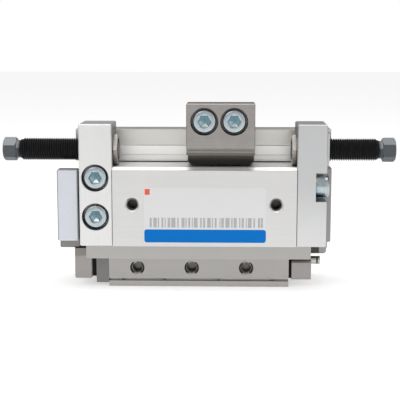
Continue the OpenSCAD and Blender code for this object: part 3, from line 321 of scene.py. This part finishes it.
def newMaterial(name, **changes):
    look = {**baseLook, **changes}
    material = bpy.data.materials.new(name)
    material.use_nodes = True
    tree = material.node_tree
    shader = tree.nodes["Principled BSDF"]
    coords = tree.nodes.new("ShaderNodeTexCoord")
    edge = placeGroup(tree, "edge", {"Radius": look["edgeRadius"]})
    grain = placeGroup(tree, "grain", {
        "Stretch": look["stretch"], "Line Scale": look["lineScale"], "Grain Scale": look["grainScale"],
        "Line Height": look["lineHeight"], "Grain Height": look["grainHeight"],
        "Cloud Scale": look["cloudScale"]})
    tree.links.new(coords.outputs["Object"], grain.inputs["Vector"])
    tree.links.new(edge.outputs["Normal"], grain.inputs["Normal"])
    tree.links.new(grain.outputs["Normal"], shader.inputs["Normal"])

    cloud, lines, fine = [mathNode(tree, "MULTIPLY", grain.outputs[label], weight)
                          for label, weight in look["toneWeights"].items()]
    tone = mathNode(tree, "ADD", mathNode(tree, "ADD", cloud, lines), fine)
    dark = tuple(channel * (1 - look["toneSpread"]) for channel in look["color"])
    light = tuple(min(1.0, channel * (1 + look["toneSpread"])) for channel in look["color"])
    color = mixColors(tree, tone, dark, light)
    if look["zones"]:
        axes = {"within": splitAxes(tree, coords.outputs["Object"]),
                "facing": splitAxes(tree, coords.outputs["Normal"])}
        for zone in look["zones"].values():
            share = zone.get("share", 1.0)
            for key in ("within", "facing"):
                for axis, start, end in zone.get(key, ()):
                    share = mathNode(tree, "MULTIPLY", rampNode(tree, axes[key][axis], start, end), share)
            color = mixColors(tree, share, color, zone["color"])
    # worn corners, with a painted highlight mixed into their colour
    if look["edgeColor"]:
        wornAndHighlit = mathNode(tree, "MULTIPLY", edge.outputs["Edge"], look["edgeShare"])
        color = mixColors(tree, wornAndHighlit, color, look["edgeColor"])
    # painted shade in holes, slots and joints
    if look["hollowShare"]:
        hollow = placeGroup(tree, "hollow", {"Distance": look["hollowReach"], "Open": look["recessShadeOpen"]})
        depth = mathNode(tree, "MULTIPLY", hollow.outputs["Depth"], look["hollowShare"])
        color = mixColors(tree, depth, color, look["recessShadeColor"])
        # painted shade on a hole's downward walls and a painted highlight on its upward walls
        if look["glintColor"]:
            upward = splitAxes(tree, coords.outputs["Normal"])["Z"]
            for wall in ("shade", "glint"):
                share = mathNode(tree, "MULTIPLY", depth, rampNode(tree, upward, *look[wall + "Turn"]))
                color = mixColors(tree, share, color, look[wall + "Color"])
    tree.links.new(color, shader.inputs["Base Color"])

    low = look["roughness"] - look["roughnessSpread"] / 2
    high = look["roughness"] + look["roughnessSpread"] / 2
    tree.links.new(rampNode(tree, tone, 0.0, 1.0, low, high), shader.inputs["Roughness"])
    shader.inputs["Metallic"].default_value = look["metallic"]
    shader.inputs["Specular IOR Level"].default_value = look["specular"]
    return material


alongX, alongZ = (0.03, 1.0, 1.0), (1.0, 1.0, 0.03)
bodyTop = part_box("cylinder_body")[1].z
capLeft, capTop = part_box("end_plate_cap")[0].x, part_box("end_plate_cap")[1].z
leftInner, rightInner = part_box("left_bracket")[1].x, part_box("right_bracket")[0].x
# ranges that several zones share: the axis, where they start and where they are whole, in metres
onRightBracket = ("X", 0.040, 0.0405)
besideNuts = ("Y", -0.0178, -0.0172)
inFrontMouths = ("Y", -0.01765, -0.01785)    # the countersinks in the body's front
inRowMouths = ("Y", -0.0088, -0.0098)        # and in the guide block's

# a finish for each material slot
finishes = {
    "body_aluminium": dict(
        color=(0.68, 0.675, 0.67), edgeColor=(0.97, 0.97, 0.96), edgeShare=0.9, metallic=0.75,
        roughness=0.42, stretch=alongX, hollowShare=0.8, recessShadeColor=(0.05, 0.045, 0.04), recessShadeOpen=0.42,
        zones=dict(
            footBand=dict(color=(0.40, 0.39, 0.37), share=0.9,
                          within=[("Z", 0.0201, 0.0197), ("Y", -0.0170, -0.0165)]),
            # painted highlight on the body's top chamfer and top face
            bodyTopHighlight=dict(color=(0.97, 0.965, 0.955), within=[("Z", bodyTop - 0.0013, bodyTop - 0.0010)]),
            # painted shade on the floors of the tapped holes
            holeFloorShade=dict(color=(0.16, 0.145, 0.12), share=0.95,
                            within=[("Y", -0.0145, -0.0130), ("Z", 0.052, 0.051),
                                    ("X", -0.040, -0.038), ("X", 0.040, 0.038)]),
            # painted highlight on the countersinks' lower walls and painted shade on their upper walls
            lowerMouthHighlight=dict(color=(1.0, 1.0, 1.0), facing=[("Z", 0.2, 0.5)],
                             within=[inFrontMouths, ("Z", 0.052, 0.051)]),
            upperMouthPaintedLight=dict(color=(0.30, 0.29, 0.27), facing=[("Z", -0.3, -0.6)],
                             within=[inFrontMouths, ("Z", 0.022, 0.023)]))),
    "bracket_aluminium": dict(
        color=(0.76, 0.755, 0.75), edgeColor=(0.97, 0.97, 0.96), edgeShare=0.8, metallic=0.75,
        roughness=0.40, stretch=alongZ, hollowShare=0.75, recessShadeOpen=0.6,
        zones=dict(
            # painted shade: the right bracket darker all over than the left, lighter again towards its foot
            rightBracketShade=dict(color=(0.545, 0.55, 0.555), share=0.95, within=[onRightBracket]),
            rightFoot=dict(color=(0.70, 0.70, 0.70), share=0.9,
                           within=[onRightBracket, ("Z", 0.050, 0.022)]),
            # painted shade on the brackets' inner faces beside the lock nuts
            shadeBehindLeftNut=dict(color=(0.05, 0.046, 0.042), share=0.8,
                               within=[("X", leftInner - 0.0001, leftInner),
                                       ("X", rightInner, leftInner), besideNuts]),
            shadeBehindRightNut=dict(color=(0.03, 0.028, 0.026), share=0.9,
                                within=[("X", rightInner + 0.0001, rightInner),
                                        ("X", leftInner, rightInner), besideNuts]))),
    "table_aluminium": dict(
        color=(1.0, 0.98, 0.94), edgeColor=(0.97, 0.96, 0.93), metallic=0.75, roughness=0.38,
        stretch=alongX, hollowShare=0.2, hollowReach=2 * mm,
        zones=dict(
            upperStrip=dict(color=(0.74, 0.73, 0.69), within=[("Z", 0.0627, 0.0630)]),
            # painted shade: the table's top darker than its front
            top=dict(color=(0.62, 0.61, 0.58), within=[("Z", 0.0700, 0.0704)]),
            back=dict(color=(0.58, 0.575, 0.56), within=[("Y", 0.0100, 0.0108)]),
            frontLip=dict(color=(0.34, 0.325, 0.31), share=0.87,
                          within=[("Z", 0.0172, 0.0162), ("Y", 0.0112, 0.0106)]))),
    "cap_aluminium": dict(
        color=(0.66, 0.68, 0.73), edgeColor=(0.85, 0.86, 0.9), metallic=0.65, roughness=0.5,
        grainHeight=0.15, hollowShare=0.6,
        zones=dict(
            shadedTop=dict(color=(0.38, 0.39, 0.41), within=[("Z", capTop - 0.0005, capTop - 0.0003)]),
            # painted shade on the cap's outer side
            outerSideShade=dict(color=(0.22, 0.23, 0.25), within=[("X", capLeft + 0.0005, capLeft + 0.0003)]))),
    "guide_steel": dict(
        color=(0.375, 0.362, 0.352), edgeColor=(0.62, 0.61, 0.59), metallic=0.9, roughness=0.33,
        stretch=alongX, lineHeight=0.12, hollowShare=0.7),
    "stopper_steel": dict(
        color=(0.335, 0.315, 0.30), edgeColor=(0.70, 0.68, 0.66), edgeShare=0.8, metallic=0.85,
        roughness=0.36, stretch=alongX, lineHeight=0.12, toneSpread=0.1, cloudScale=220.0, hollowShare=0.5,
        zones=dict(
            # painted shade on the stopper's foot under its front overhang: a darker fringe, black below
            footShadeFringe=dict(color=(0.15, 0.14, 0.12), within=[("Z", 0.0622, 0.0612)]),
            footShade=dict(color=(0.02, 0.018, 0.014), within=[("Z", 0.0620, 0.0568)]))),
    "black_steel": dict(
        color=(0.006, 0.006, 0.007), edgeColor=(0.14, 0.145, 0.15), edgeShare=0.7, edgeRadius=0.09 * mm,
        metallic=0.2, roughness=0.36, grainHeight=0.12, toneSpread=0.2, specular=0.15),
    # painted teal shade in the sockets, a painted highlight on their upward walls and painted shade on their
    # downward walls
    "zinc_screws": dict(
        color=(0.44, 0.50, 0.53), edgeColor=(0.80, 0.86, 0.89), roughness=0.26, grainHeight=0.10,
        cloudScale=400.0, toneSpread=0.12, hollowShare=0.95, recessShadeColor=(0.16, 0.335, 0.38),
        hollowReach=6 * mm, recessShadeOpen=0.97, glintColor=(0.98, 1.0, 1.0), shadeColor=(0.03, 0.12, 0.16)),
    "small_screws": dict(
        color=(0.55, 0.53, 0.50), edgeColor=(0.78, 0.76, 0.74), roughness=0.3, hollowShare=0.6),
    "nut_steel": dict(
        color=(0.72, 0.68, 0.64), edgeColor=(0.95, 0.92, 0.89), roughness=0.27, hollowShare=0.5),
    "rod_steel": dict(
        color=(0.80, 0.80, 0.81), roughness=0.12, roughnessSpread=0.04, lineHeight=0.01, grainHeight=0.01),
    "bronze": dict(
        color=(0.52, 0.34, 0.16), edgeColor=(0.72, 0.52, 0.3), roughness=0.34),
    "rubber": dict(
        color=(0.006, 0.006, 0.006), metallic=0.0, roughness=0.7, grainHeight=0.25, specular=0.15),
    "dark_plastic": dict(
        color=(0.20, 0.195, 0.19), edgeColor=(0.32, 0.31, 0.3), metallic=0.0, roughness=0.5,
        grainHeight=0.3, hollowShare=0.4),
    "magnet": dict(
        color=(0.09, 0.09, 0.09), metallic=0.3, roughness=0.6),
}

# single solids that look different from the rest of their slot
ownLooks = {
    "head_cover": dict(
        color=(0.32, 0.315, 0.305), metallic=0.75, roughness=0.4, hollowShare=0.5,
        zones=dict(
            # painted shade low on the head cover, under the bracket
            shadeUnderBracket=dict(color=(0.05, 0.046, 0.04), share=0.95,
                           within=[("X", 0.0502, 0.0506), ("X", 0.0545, 0.0541),
                                   ("Z", 0.0196, 0.0190)]))),
    "end_plate": dict(
        color=(0.24, 0.232, 0.225), metallic=0.75, roughness=0.4, hollowShare=0.4),
    "table_end_block": dict(
        color=(0.335, 0.32, 0.305), metallic=0.8, roughness=0.38, grainHeight=0.15, hollowShare=0.4,
        zones=dict(upperHalf=dict(color=(0.24, 0.225, 0.20), within=[("Z", 0.0134, 0.0142)]))),
    "right_return_cap": dict(
        color=(0.33, 0.315, 0.305), metallic=0.8, roughness=0.38, hollowShare=0.4),
    "guide_block": dict(
        finishes["guide_steel"],
        zones=dict(
            # painted shade on the floors of the tapped holes
            holeFloorShade=dict(color=(0.15, 0.14, 0.12), within=[("Y", -0.0100, -0.0080)]),
            # painted highlight on the countersinks' lower and upper walls, painted shade on their side walls
            lowerMouthHighlight=dict(color=(0.95, 0.93, 0.90), within=[inRowMouths], facing=[("Z", 0.30, 0.60)]),
            upperMouthPaintedLight=dict(color=(0.85, 0.83, 0.80), within=[inRowMouths], facing=[("Z", -0.30, -0.60)]),
            leftMouthShade=dict(color=(0.07, 0.063, 0.055), within=[inRowMouths], facing=[("X", 0.25, 0.50)]),
            rightMouthShade=dict(color=(0.07, 0.063, 0.055), within=[inRowMouths],
                             facing=[("X", -0.25, -0.50)]))),
}
materials = {name: newMaterial(name, **look) for name, look in {**finishes, **ownLooks}.items()}

slotOf = {subpart["node"]: subpart["material_slot"] for subpart in frame["record"]["subparts"]}
for name, solid in nodes.items():
    chosen = materials[name if name in ownLooks else slotOf[name]]
    if not solid.data.materials:
        solid.data.materials.append(chosen)
    for index in range(len(solid.data.materials)):
        solid.data.materials[index] = chosen
print("solids dressed:", len(nodes))


adjuster = dict(
    rootRadius=4.3 * mm,
    crestRadius=4.98 * mm,
    pitch=1.0 * mm,
    ridgeFoot=0.42,              # half a ridge's width at its foot and at its top, in pitches
    ridgeTop=0.07,
    ridgeSink=0.1 * mm,          # how deep a ridge stands in the core
    fadeLength=0.8 * mm,         # the thread runs out over this length at both ends
    fadeSink=0.05 * mm,
    tipCut=(0.2 * mm, 0.3 * mm), # cut corner of the tip, across and along
    neckLength=2.0 * mm,
    neckRadius=3.9 * mm,
    neckSlope=0.5 * mm,
    hexWidth=9.3 * mm,
    hexLength=5.8 * mm,
    hexSlope=0.75,
    hexLand=0.96,                # share of the width left flat on both faces
    hexEdge=0.1 * mm,
    hexSink=0.2 * mm,            # how far the core reaches into the hexagon
    bumperRadius=3.05 * mm,
    bumperDepth=3.0 * mm,
    turns={"left": math.radians(22), "right": math.radians(30)},
    points=48,
)
# the hexagons are worn grey, with a painted highlight on their upward faces; the threads stay black
hexEnds = {"left": ("X", -0.0786, -0.0804), "right": ("X", 0.0786, 0.0806)}
hexLooks = {"Sides": dict(color=(0.088, 0.096, 0.104)),
            "TopHighlight": dict(color=(0.30, 0.315, 0.335), facing=[("Z", 0.05, 0.35)])}
adjusterSteel = newMaterial("adjusterSteel", **{**finishes["black_steel"], "zones": {
    side + part: {**look, "within": [end]}
    for side, end in hexEnds.items() for part, look in hexLooks.items()}})


def makeAdjuster(side, body):
    shape = adjuster
    lo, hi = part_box(side + "_adjuster")
    length = hi.x - lo.x
    outward = (-1, 0, 0) if side == "left" else (1, 0, 0)
    tip = (hi.x if side == "left" else lo.x, (lo.y + hi.y) / 2, (lo.z + hi.z) / 2)
    place = placeAt(tip, outward)
    root, crest, pitch = shape["rootRadius"], shape["crestRadius"], shape["pitch"]
    neck, taper, pocket = shape["neckRadius"], shape["neckSlope"], shape["bumperRadius"]
    hexStart = length - shape["hexLength"]
    neckStart = hexStart - shape["neckLength"]
    cutAcross, cutAlong = shape["tipCut"]
    bm = bmesh.new()
    lathe(bm, [(0, shape["bumperDepth"]), (pocket, shape["bumperDepth"]), (pocket, 0),
               (root - cutAcross, 0), (root, cutAlong), (root, neckStart),
               (neck, neckStart + taper), (neck, hexStart - taper),
               (root, hexStart + shape["hexSink"]), (0, hexStart + shape["hexSink"])], place)
    foot, top = shape["ridgeFoot"] * pitch, shape["ridgeTop"] * pitch
    sunk = root - shape["ridgeSink"]
    addRidge(bm, [(sunk, -foot), (crest, -top), (crest, top), (sunk, foot)], pitch,
             (neckStart - pitch) / pitch)
    bmesh.ops.translate(bm, vec=(0, 0, pitch / 2), verts=freshVerts(bm))
    for vert in freshVerts(bm):
        radius = math.hypot(vert.co.x, vert.co.y)
        away = min(vert.co.z, neckStart - vert.co.z) / shape["fadeLength"]
        limit = root - shape["fadeSink"] + max(0.0, min(1.0, away)) * (crest - root)
        if radius > limit:
            vert.co.x *= limit / radius
            vert.co.y *= limit / radius
    settle(bm, place)

    flat, slope = shape["hexWidth"] / 2, shape["hexSlope"]
    land = flat * shape["hexLand"]
    growRings(bm, shape["points"], [(land, hexStart, False, 0), (flat, hexStart, True, -slope),
                                    (flat, length - shape["hexEdge"], True, slope), (land, length, False, 0)],
              place @ Matrix.Rotation(shape["turns"][side], 4, "Z"))
    return finishPiece(bm, side + "_adjuster_threaded", adjusterSteel, body,
                       [side + "_adjuster"])


makeAdjuster("left", "left_stop")
makeAdjuster("right", "right_stop")
print("adjusters threaded")


lockNut = dict(
    width=13 * mm,
    thick=2.0 * mm,
    bore=5.15 * mm,
    turn=math.radians(-3),
    land=0.97,                   # share of the width left flat on both faces
    slope=0.2,
    points=72,
)
nutFacets = newMaterial("nutFacets", **{**finishes["nut_steel"], "zones": dict(
    # painted highlight on the upward facets, painted shade on the downward facets and the end faces
    tops=dict(color=(0.95, 0.90, 0.86), facing=[("Z", 0.15, 0.4)]),
    undersidePaintedLight=dict(color=(0.30, 0.275, 0.25), facing=[("Z", -0.1, -0.35)]),
    endFaceShade=dict(color=(0.20, 0.18, 0.16), share=0.8, facing=[("X", 0.75, 0.95)]))})


def makeLockNuts():
    shape = lockNut
    flat, slope, bore, thick = shape["width"] / 2, shape["slope"], shape["bore"], shape["thick"]
    land = flat * shape["land"]
    lo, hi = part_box("lock_nuts")
    bm = bmesh.new()
    for start in (lo.x, hi.x - thick):
        place = placeAt((start, (lo.y + hi.y) / 2, (lo.z + hi.z) / 2), (1, 0, 0))
        growRings(bm, shape["points"],
                  [(bore, 0, False, 0), (land, 0, False, 0), (flat, 0, True, -slope),
                   (flat, thick, True, slope), (land, thick, False, 0), (bore, thick, False, 0),
                   (bore, 0, False, 0)], place @ Matrix.Rotation(shape["turn"], 4, "Z"), caps=False)
    return finishPiece(bm, "lock_nuts_chamfered", nutFacets, "cylinder", ["lock_nuts"])


makeLockNuts()
print("lock nuts made")


capScrew = dict(
    headRadius=5.0 * mm,
    headHeight=6.0 * mm,
    edgeRadius=0.9 * mm,
    edgeSteps=4,
    headCut=0.2 * mm,            # cut corner under the head
    socketWidth=5.0 * mm,
    socketDepth=2.3 * mm,
    mouthOuter=1.2,              # the socket's cut mouth, in half widths of the socket
    mouthInner=1.14,
    mouthDepth=0.12 * mm,
    mouthSlope=0.5,
    coneDepth=1.3 * mm,          # the drilled bottom of the socket
    coneTip=0.12 * mm,
    shankRadius=3.0 * mm,
    shankCut=0.5 * mm,
    points=48,
)


def addCapScrew(bm, face, outward, length):
    # grown from the shank's end, round the head and down into the socket
    shape = capScrew
    head, edge, socket = shape["headRadius"], shape["edgeRadius"], shape["socketWidth"] / 2
    shank, under, floor = shape["shankRadius"], -shape["headHeight"], -shape["socketDepth"]
    shankCut, headCut, mouth = shape["shankCut"], shape["headCut"], -shape["mouthDepth"]
    rings = [(shank - shankCut, -length, False, 0), (shank, -length + shankCut, False, 0),
             (shank, under, False, 0), (head - headCut, under, False, 0), (head, under + headCut, False, 0)]
    for step in range(shape["edgeSteps"] + 1):
        angle = math.radians(90 * step / shape["edgeSteps"])
        rings.append((head - edge + edge * math.cos(angle), -edge + edge * math.sin(angle), False, 0))
    rings += [(socket * shape["mouthOuter"], 0, False, 0), (socket * shape["mouthInner"], mouth, False, 0),
              (socket, mouth, True, shape["mouthSlope"]), (socket, floor, True, 0),
              (shape["coneTip"], floor - shape["coneDepth"], False, 0)]
    growRings(bm, shape["points"], rings, placeAt(face, outward))


def makeCapScrews(node, name, body, outward, spread):
    # spread: the axis along which the screws of this node stand side by side
    lo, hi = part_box(node)
    axis = "xyz".index(spread)
    depth = [index for index in range(3) if outward[index]][0]
    head = capScrew["headRadius"]
    face = (lo + hi) / 2
    face[depth] = hi[depth] if outward[depth] > 0 else lo[depth]
    spots = {round(lo[axis] + head, 6), round(hi[axis] - head, 6)}     # one spot where the two are the same
    bm = bmesh.new()
    for spot in sorted(spots):
        at = face.copy()
        at[axis] = spot
        addCapScrew(bm, at, outward, hi[depth] - lo[depth])
    return finishPiece(bm, name, materials["zinc_screws"], body, [node])


makeCapScrews("left_bracket_screws", "left_bracket_cap_screws", "cylinder", (0, -1, 0), "z")
makeCapScrews("stopper_screws", "stopper_cap_screws", "slide", (0, -1, 0), "x")
makeCapScrews("right_bracket_screw", "right_bracket_cap_screw", "cylinder", (1, 0, 0), "y")
print("cap screws made")


tapping = dict(
    major=2.52 * mm,
    minor=2.1 * mm,
    pitch=0.8 * mm,
    ridgeFoot=0.44,              # half a ridge's width at its foot and at its top, in pitches
    ridgeTop=0.06,
    side=(0.0, 8.0 * mm),        # where each kind of hole has its thread: from and to, below the face
    row=(0.0, 4.1 * mm),
    table=(0.3 * mm, 6.2 * mm),
)
threadAluminium = newMaterial("threadAluminium", color=(0.14, 0.125, 0.11), metallic=0.8, roughness=0.4,
                              hollowShare=0.7, hollowReach=4 * mm)
threadSteel = newMaterial("threadSteel", color=(0.20, 0.19, 0.175), metallic=0.95, roughness=0.25,
                          hollowShare=0.3,
                          # painted highlight on the downward flanks of the threads
                          zones=dict(undersidePaintedLight=dict(color=(0.98, 0.96, 0.93), facing=[("Z", -0.25, -0.55)])))
sidePitch = mounts["body_side_holes"]["dims"]["spacing_x_mm"] * mm
rowPitch = mounts["guide_row_holes"]["dims"]["spacing_x_mm"] * mm / 2
faceSpacing = [mounts["table_holes"]["dims"][key] * mm / 2 for key in ("spacing_x_mm", "spacing_y_mm")]


def makeTapping(mount, name, material, body, kind, spots):
    # spots: across and up from the mount's middle
    shape = tapping
    pitch, major, minor = shape["pitch"], shape["major"], shape["minor"]
    foot, top = shape["ridgeFoot"] * pitch, shape["ridgeTop"] * pitch
    start, end = shape[kind]
    middle, outward = Vector(mounts[mount]["pos_m"]), mounts[mount]["axis"]
    bm = bmesh.new()
    for across, rise in spots:
        addRidge(bm, [(major, -foot), (minor, -top), (minor, top), (major, foot)], pitch,
                 (end - start) / pitch - 1)
        bmesh.ops.translate(bm, vec=(0, 0, -end + pitch / 2), verts=freshVerts(bm))
        settle(bm, placeAt(middle + Vector((across, 0, rise)), outward))
    return finishPiece(bm, name, material, body)


makeTapping("body_side_holes", "body_side_threads", threadAluminium, "cylinder", "side",
            [(-sidePitch / 2, 0), (sidePitch / 2, 0)])
makeTapping("guide_row_holes", "guide_row_threads", threadSteel, "slide", "row",
            [(-rowPitch, 0), (0, 0), (rowPitch, 0)])
makeTapping("table_holes", "table_face_threads", threadAluminium, "slide", "table",
            [(sx * faceSpacing[0], sz * faceSpacing[1]) for sx in (-1, 1) for sz in (-1, 1)])
print("tapped holes threaded")


label = dict(
    left=-23.6 * mm,
    right=29.7 * mm,
    foot=21.7 * mm,
    top=46.0 * mm,
    corner=1.1 * mm,
    film=0.06 * mm,
    ink=0.02 * mm,
    bandTop=27.5 * mm,
    bandInset=0.01 * mm,
    square=((-23.3 * mm, 42.8 * mm), (-21.1 * mm, 45.4 * mm)),
    squareCorner=0.15 * mm,
    barFoot=28.4 * mm,
    barTop=32.7 * mm,
    barStart=-21.2 * mm,
    barEnd=28.3 * mm,
    barWidths=(0.9, 1.5, 0.5, 0.8, 0.4, 1.1, 1.8, 0.6, 1.3, 0.5, 0.9, 0.4, 1.6, 0.7),
    barGaps=(0.7, 0.5, 1.1, 0.6, 0.9, 0.5, 0.8, 1.3, 0.4, 0.7),
)
filmMaterial = newMaterial("labelFilm", color=(0.70, 0.70, 0.70), metallic=0.55, roughness=0.36,
                           toneSpread=0.02, lineHeight=0.01, grainHeight=0.04, edgeRadius=0.05 * mm)
bandMaterial = newMaterial("labelBlue", color=(0.0, 0.165, 0.56), metallic=0.0, roughness=0.45, specular=0.1,
                           toneSpread=0.03, lineHeight=0.0, grainHeight=0.03, edgeRadius=0.05 * mm)
squareMaterial = newMaterial("labelRed", color=(0.78, 0.10, 0.045), metallic=0.0, roughness=0.4,
                             toneSpread=0.03, lineHeight=0.0, grainHeight=0.03, edgeRadius=0.05 * mm)
barMaterial = newMaterial("labelGrey", color=(0.42, 0.42, 0.42), metallic=0.0, roughness=0.45,
                          toneSpread=0.10, cloudScale=500.0, lineHeight=0.0, edgeRadius=0.05 * mm)


def makeLabel():
    shape = label
    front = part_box("left_bracket")[0].y      # flush with the body's front
    filmFront = front - shape["film"]
    inkFront = filmFront - shape["ink"]
    bm = bmesh.new()
    roundedPlate(bm, (shape["left"], filmFront, shape["foot"]), (shape["right"], front, shape["top"]),
                 shape["corner"])
    finishPiece(bm, "label_film", filmMaterial, "cylinder")
    inset = shape["bandInset"]
    bm = bmesh.new()
    roundedPlate(bm, (shape["left"] + inset, inkFront, shape["foot"] + inset),
                 (shape["right"] - inset, filmFront, shape["bandTop"]), shape["corner"])
    finishPiece(bm, "label_blue_band", bandMaterial, "cylinder")
    (left, foot), (right, top) = shape["square"]
    bm = bmesh.new()
    roundedPlate(bm, (left, inkFront, foot), (right, filmFront, top), shape["squareCorner"], steps=2)
    finishPiece(bm, "label_red_square", squareMaterial, "cylinder")
    bm = bmesh.new()
    at, index = shape["barStart"], 0
    while at < shape["barEnd"]:
        width = shape["barWidths"][index % len(shape["barWidths"])] * mm
        width = min(width, shape["barEnd"] - at)
        roundedPlate(bm, (at, inkFront, shape["barFoot"]), (at + width, filmFront, shape["barTop"]), 0)
        at += width + shape["barGaps"][index % len(shape["barGaps"])] * mm
        index += 1
    finishPiece(bm, "label_grey_bars", barMaterial, "cylinder")


makeLabel()
print("label laid on the body")


studio = dict(
    cameraAt=(13.17 * mm, -470.0 * mm, 110.53 * mm),
    cameraAim=(0.35 * mm, 0.0, 37.76 * mm),
    lens=94.34,
    sensor=36.0,
    floorSize=6.0,
    floorDrop=0.2 * mm,          # below the foot, so that the two faces don't meet
    floorColors=((0.9, 0.9, 0.9), (0.891, 0.891, 0.891)),
    floorCloud=12.0,
    floorRoughness=0.8,
    floorSpecular=0.1,
    floorGlow=0.5,
    cameraWhite=1.0,             # what the camera sees behind the floor
    skyFront=0.62,
    skyBack=0.26,
    skyTurn=(-0.5, 0.7),         # from front to back
    skyTop=0.5,
    skyRise=(0.4, 0.95),
    # name: place, aim, width, height, watts, colour (metres)
    lights=dict(
        key=((-0.45, -0.7, 0.75), (0.0, 0.0, 0.04), 0.6, 0.4, 1.4, (1.0, 0.99, 0.97)),
        fill=((0.7, -0.7, 0.35), (0.0, 0.0, 0.04), 0.5, 0.5, 0.5, (0.96, 0.98, 1.0)),
        top=((0.0, 0.0, 0.9), (0.0, 0.0, 0.0), 0.8, 0.4, 2.2, (1.0, 1.0, 1.0)),
    ),
)


def addToScene(name, data, at=(0, 0, 0), aim=None):
    thing = bpy.data.objects.new(name, data)
    thing.location = at
    if aim:
        thing.rotation_euler = (Vector(aim) - Vector(at)).to_track_quat("-Z", "Y").to_euler()
    bpy.context.scene.collection.objects.link(thing)
    return thing


def makeFloor():
    bm = bmesh.new()
    bmesh.ops.create_grid(bm, x_segments=8, y_segments=8, size=studio["floorSize"] / 2)
    bmesh.ops.translate(bm, vec=(0, 0, -studio["floorDrop"]), verts=bm.verts[:])
    mesh = bpy.data.meshes.new("floor")
    bm.to_mesh(mesh)
    bm.free()
    material = bpy.data.materials.new("paleFloor")
    material.use_nodes = True
    tree = material.node_tree
    shader = tree.nodes["Principled BSDF"]
    noise = tree.nodes.new("ShaderNodeTexNoise")
    noise.inputs["Scale"].default_value = studio["floorCloud"]
    coords = tree.nodes.new("ShaderNodeTexCoord")
    tree.links.new(coords.outputs["Object"], noise.inputs["Vector"])
    tree.links.new(mixColors(tree, noise.outputs["Fac"], *studio["floorColors"]), shader.inputs["Base Color"])
    shader.inputs["Roughness"].default_value = studio["floorRoughness"]
    shader.inputs["Specular IOR Level"].default_value = studio["floorSpecular"]
    shader.inputs["Emission Color"].default_value = (1.0, 1.0, 1.0, 1.0)
    shader.inputs["Emission Strength"].default_value = studio["floorGlow"]
    mesh.materials.append(material)
    addToScene("floor", mesh)


def makeSky():
    # soft all round, brighter in front; plain white behind the floor for the camera
    world = bpy.data.worlds.new("studio")
    world.use_nodes = True
    tree = world.node_tree
    background = tree.nodes["Background"]
    coords = tree.nodes.new("ShaderNodeTexCoord")
    axes = splitAxes(tree, coords.outputs["Generated"])
    side = rampNode(tree, axes["Y"], *studio["skyTurn"], studio["skyFront"], studio["skyBack"])
    sky = rampNode(tree, axes["Z"], *studio["skyRise"], side, studio["skyTop"])
    path = tree.nodes.new("ShaderNodeLightPath")
    mix = tree.nodes.new("ShaderNodeMix")
    tree.links.new(path.outputs["Is Camera Ray"], mix.inputs[0])
    tree.links.new(sky, mix.inputs[2])
    mix.inputs[3].default_value = studio["cameraWhite"]
    tree.links.new(mix.outputs[0], background.inputs["Strength"])
    background.inputs["Color"].default_value = (1.0, 1.0, 1.0, 1.0)
    bpy.context.scene.world = world


def makeLights():
    for name, (at, aim, width, height, watts, color) in studio["lights"].items():
        lamp = bpy.data.lights.new(name, "AREA")
        lamp.shape = "RECTANGLE"
        lamp.size, lamp.size_y = width, height
        lamp.energy, lamp.color = watts, color
        addToScene(name, lamp, at, aim)


def makeCamera():
    camera = bpy.data.cameras.new("camera")
    camera.lens, camera.sensor_width = studio["lens"], studio["sensor"]
    camera.clip_start, camera.clip_end = 0.02, 20.0
    bpy.context.scene.camera = addToScene("camera", camera, studio["cameraAt"], studio["cameraAim"])


bpy.context.scene.view_settings.view_transform = "Standard"
makeFloor()
makeLights()
makeSky()
makeCamera()
print("studio set")
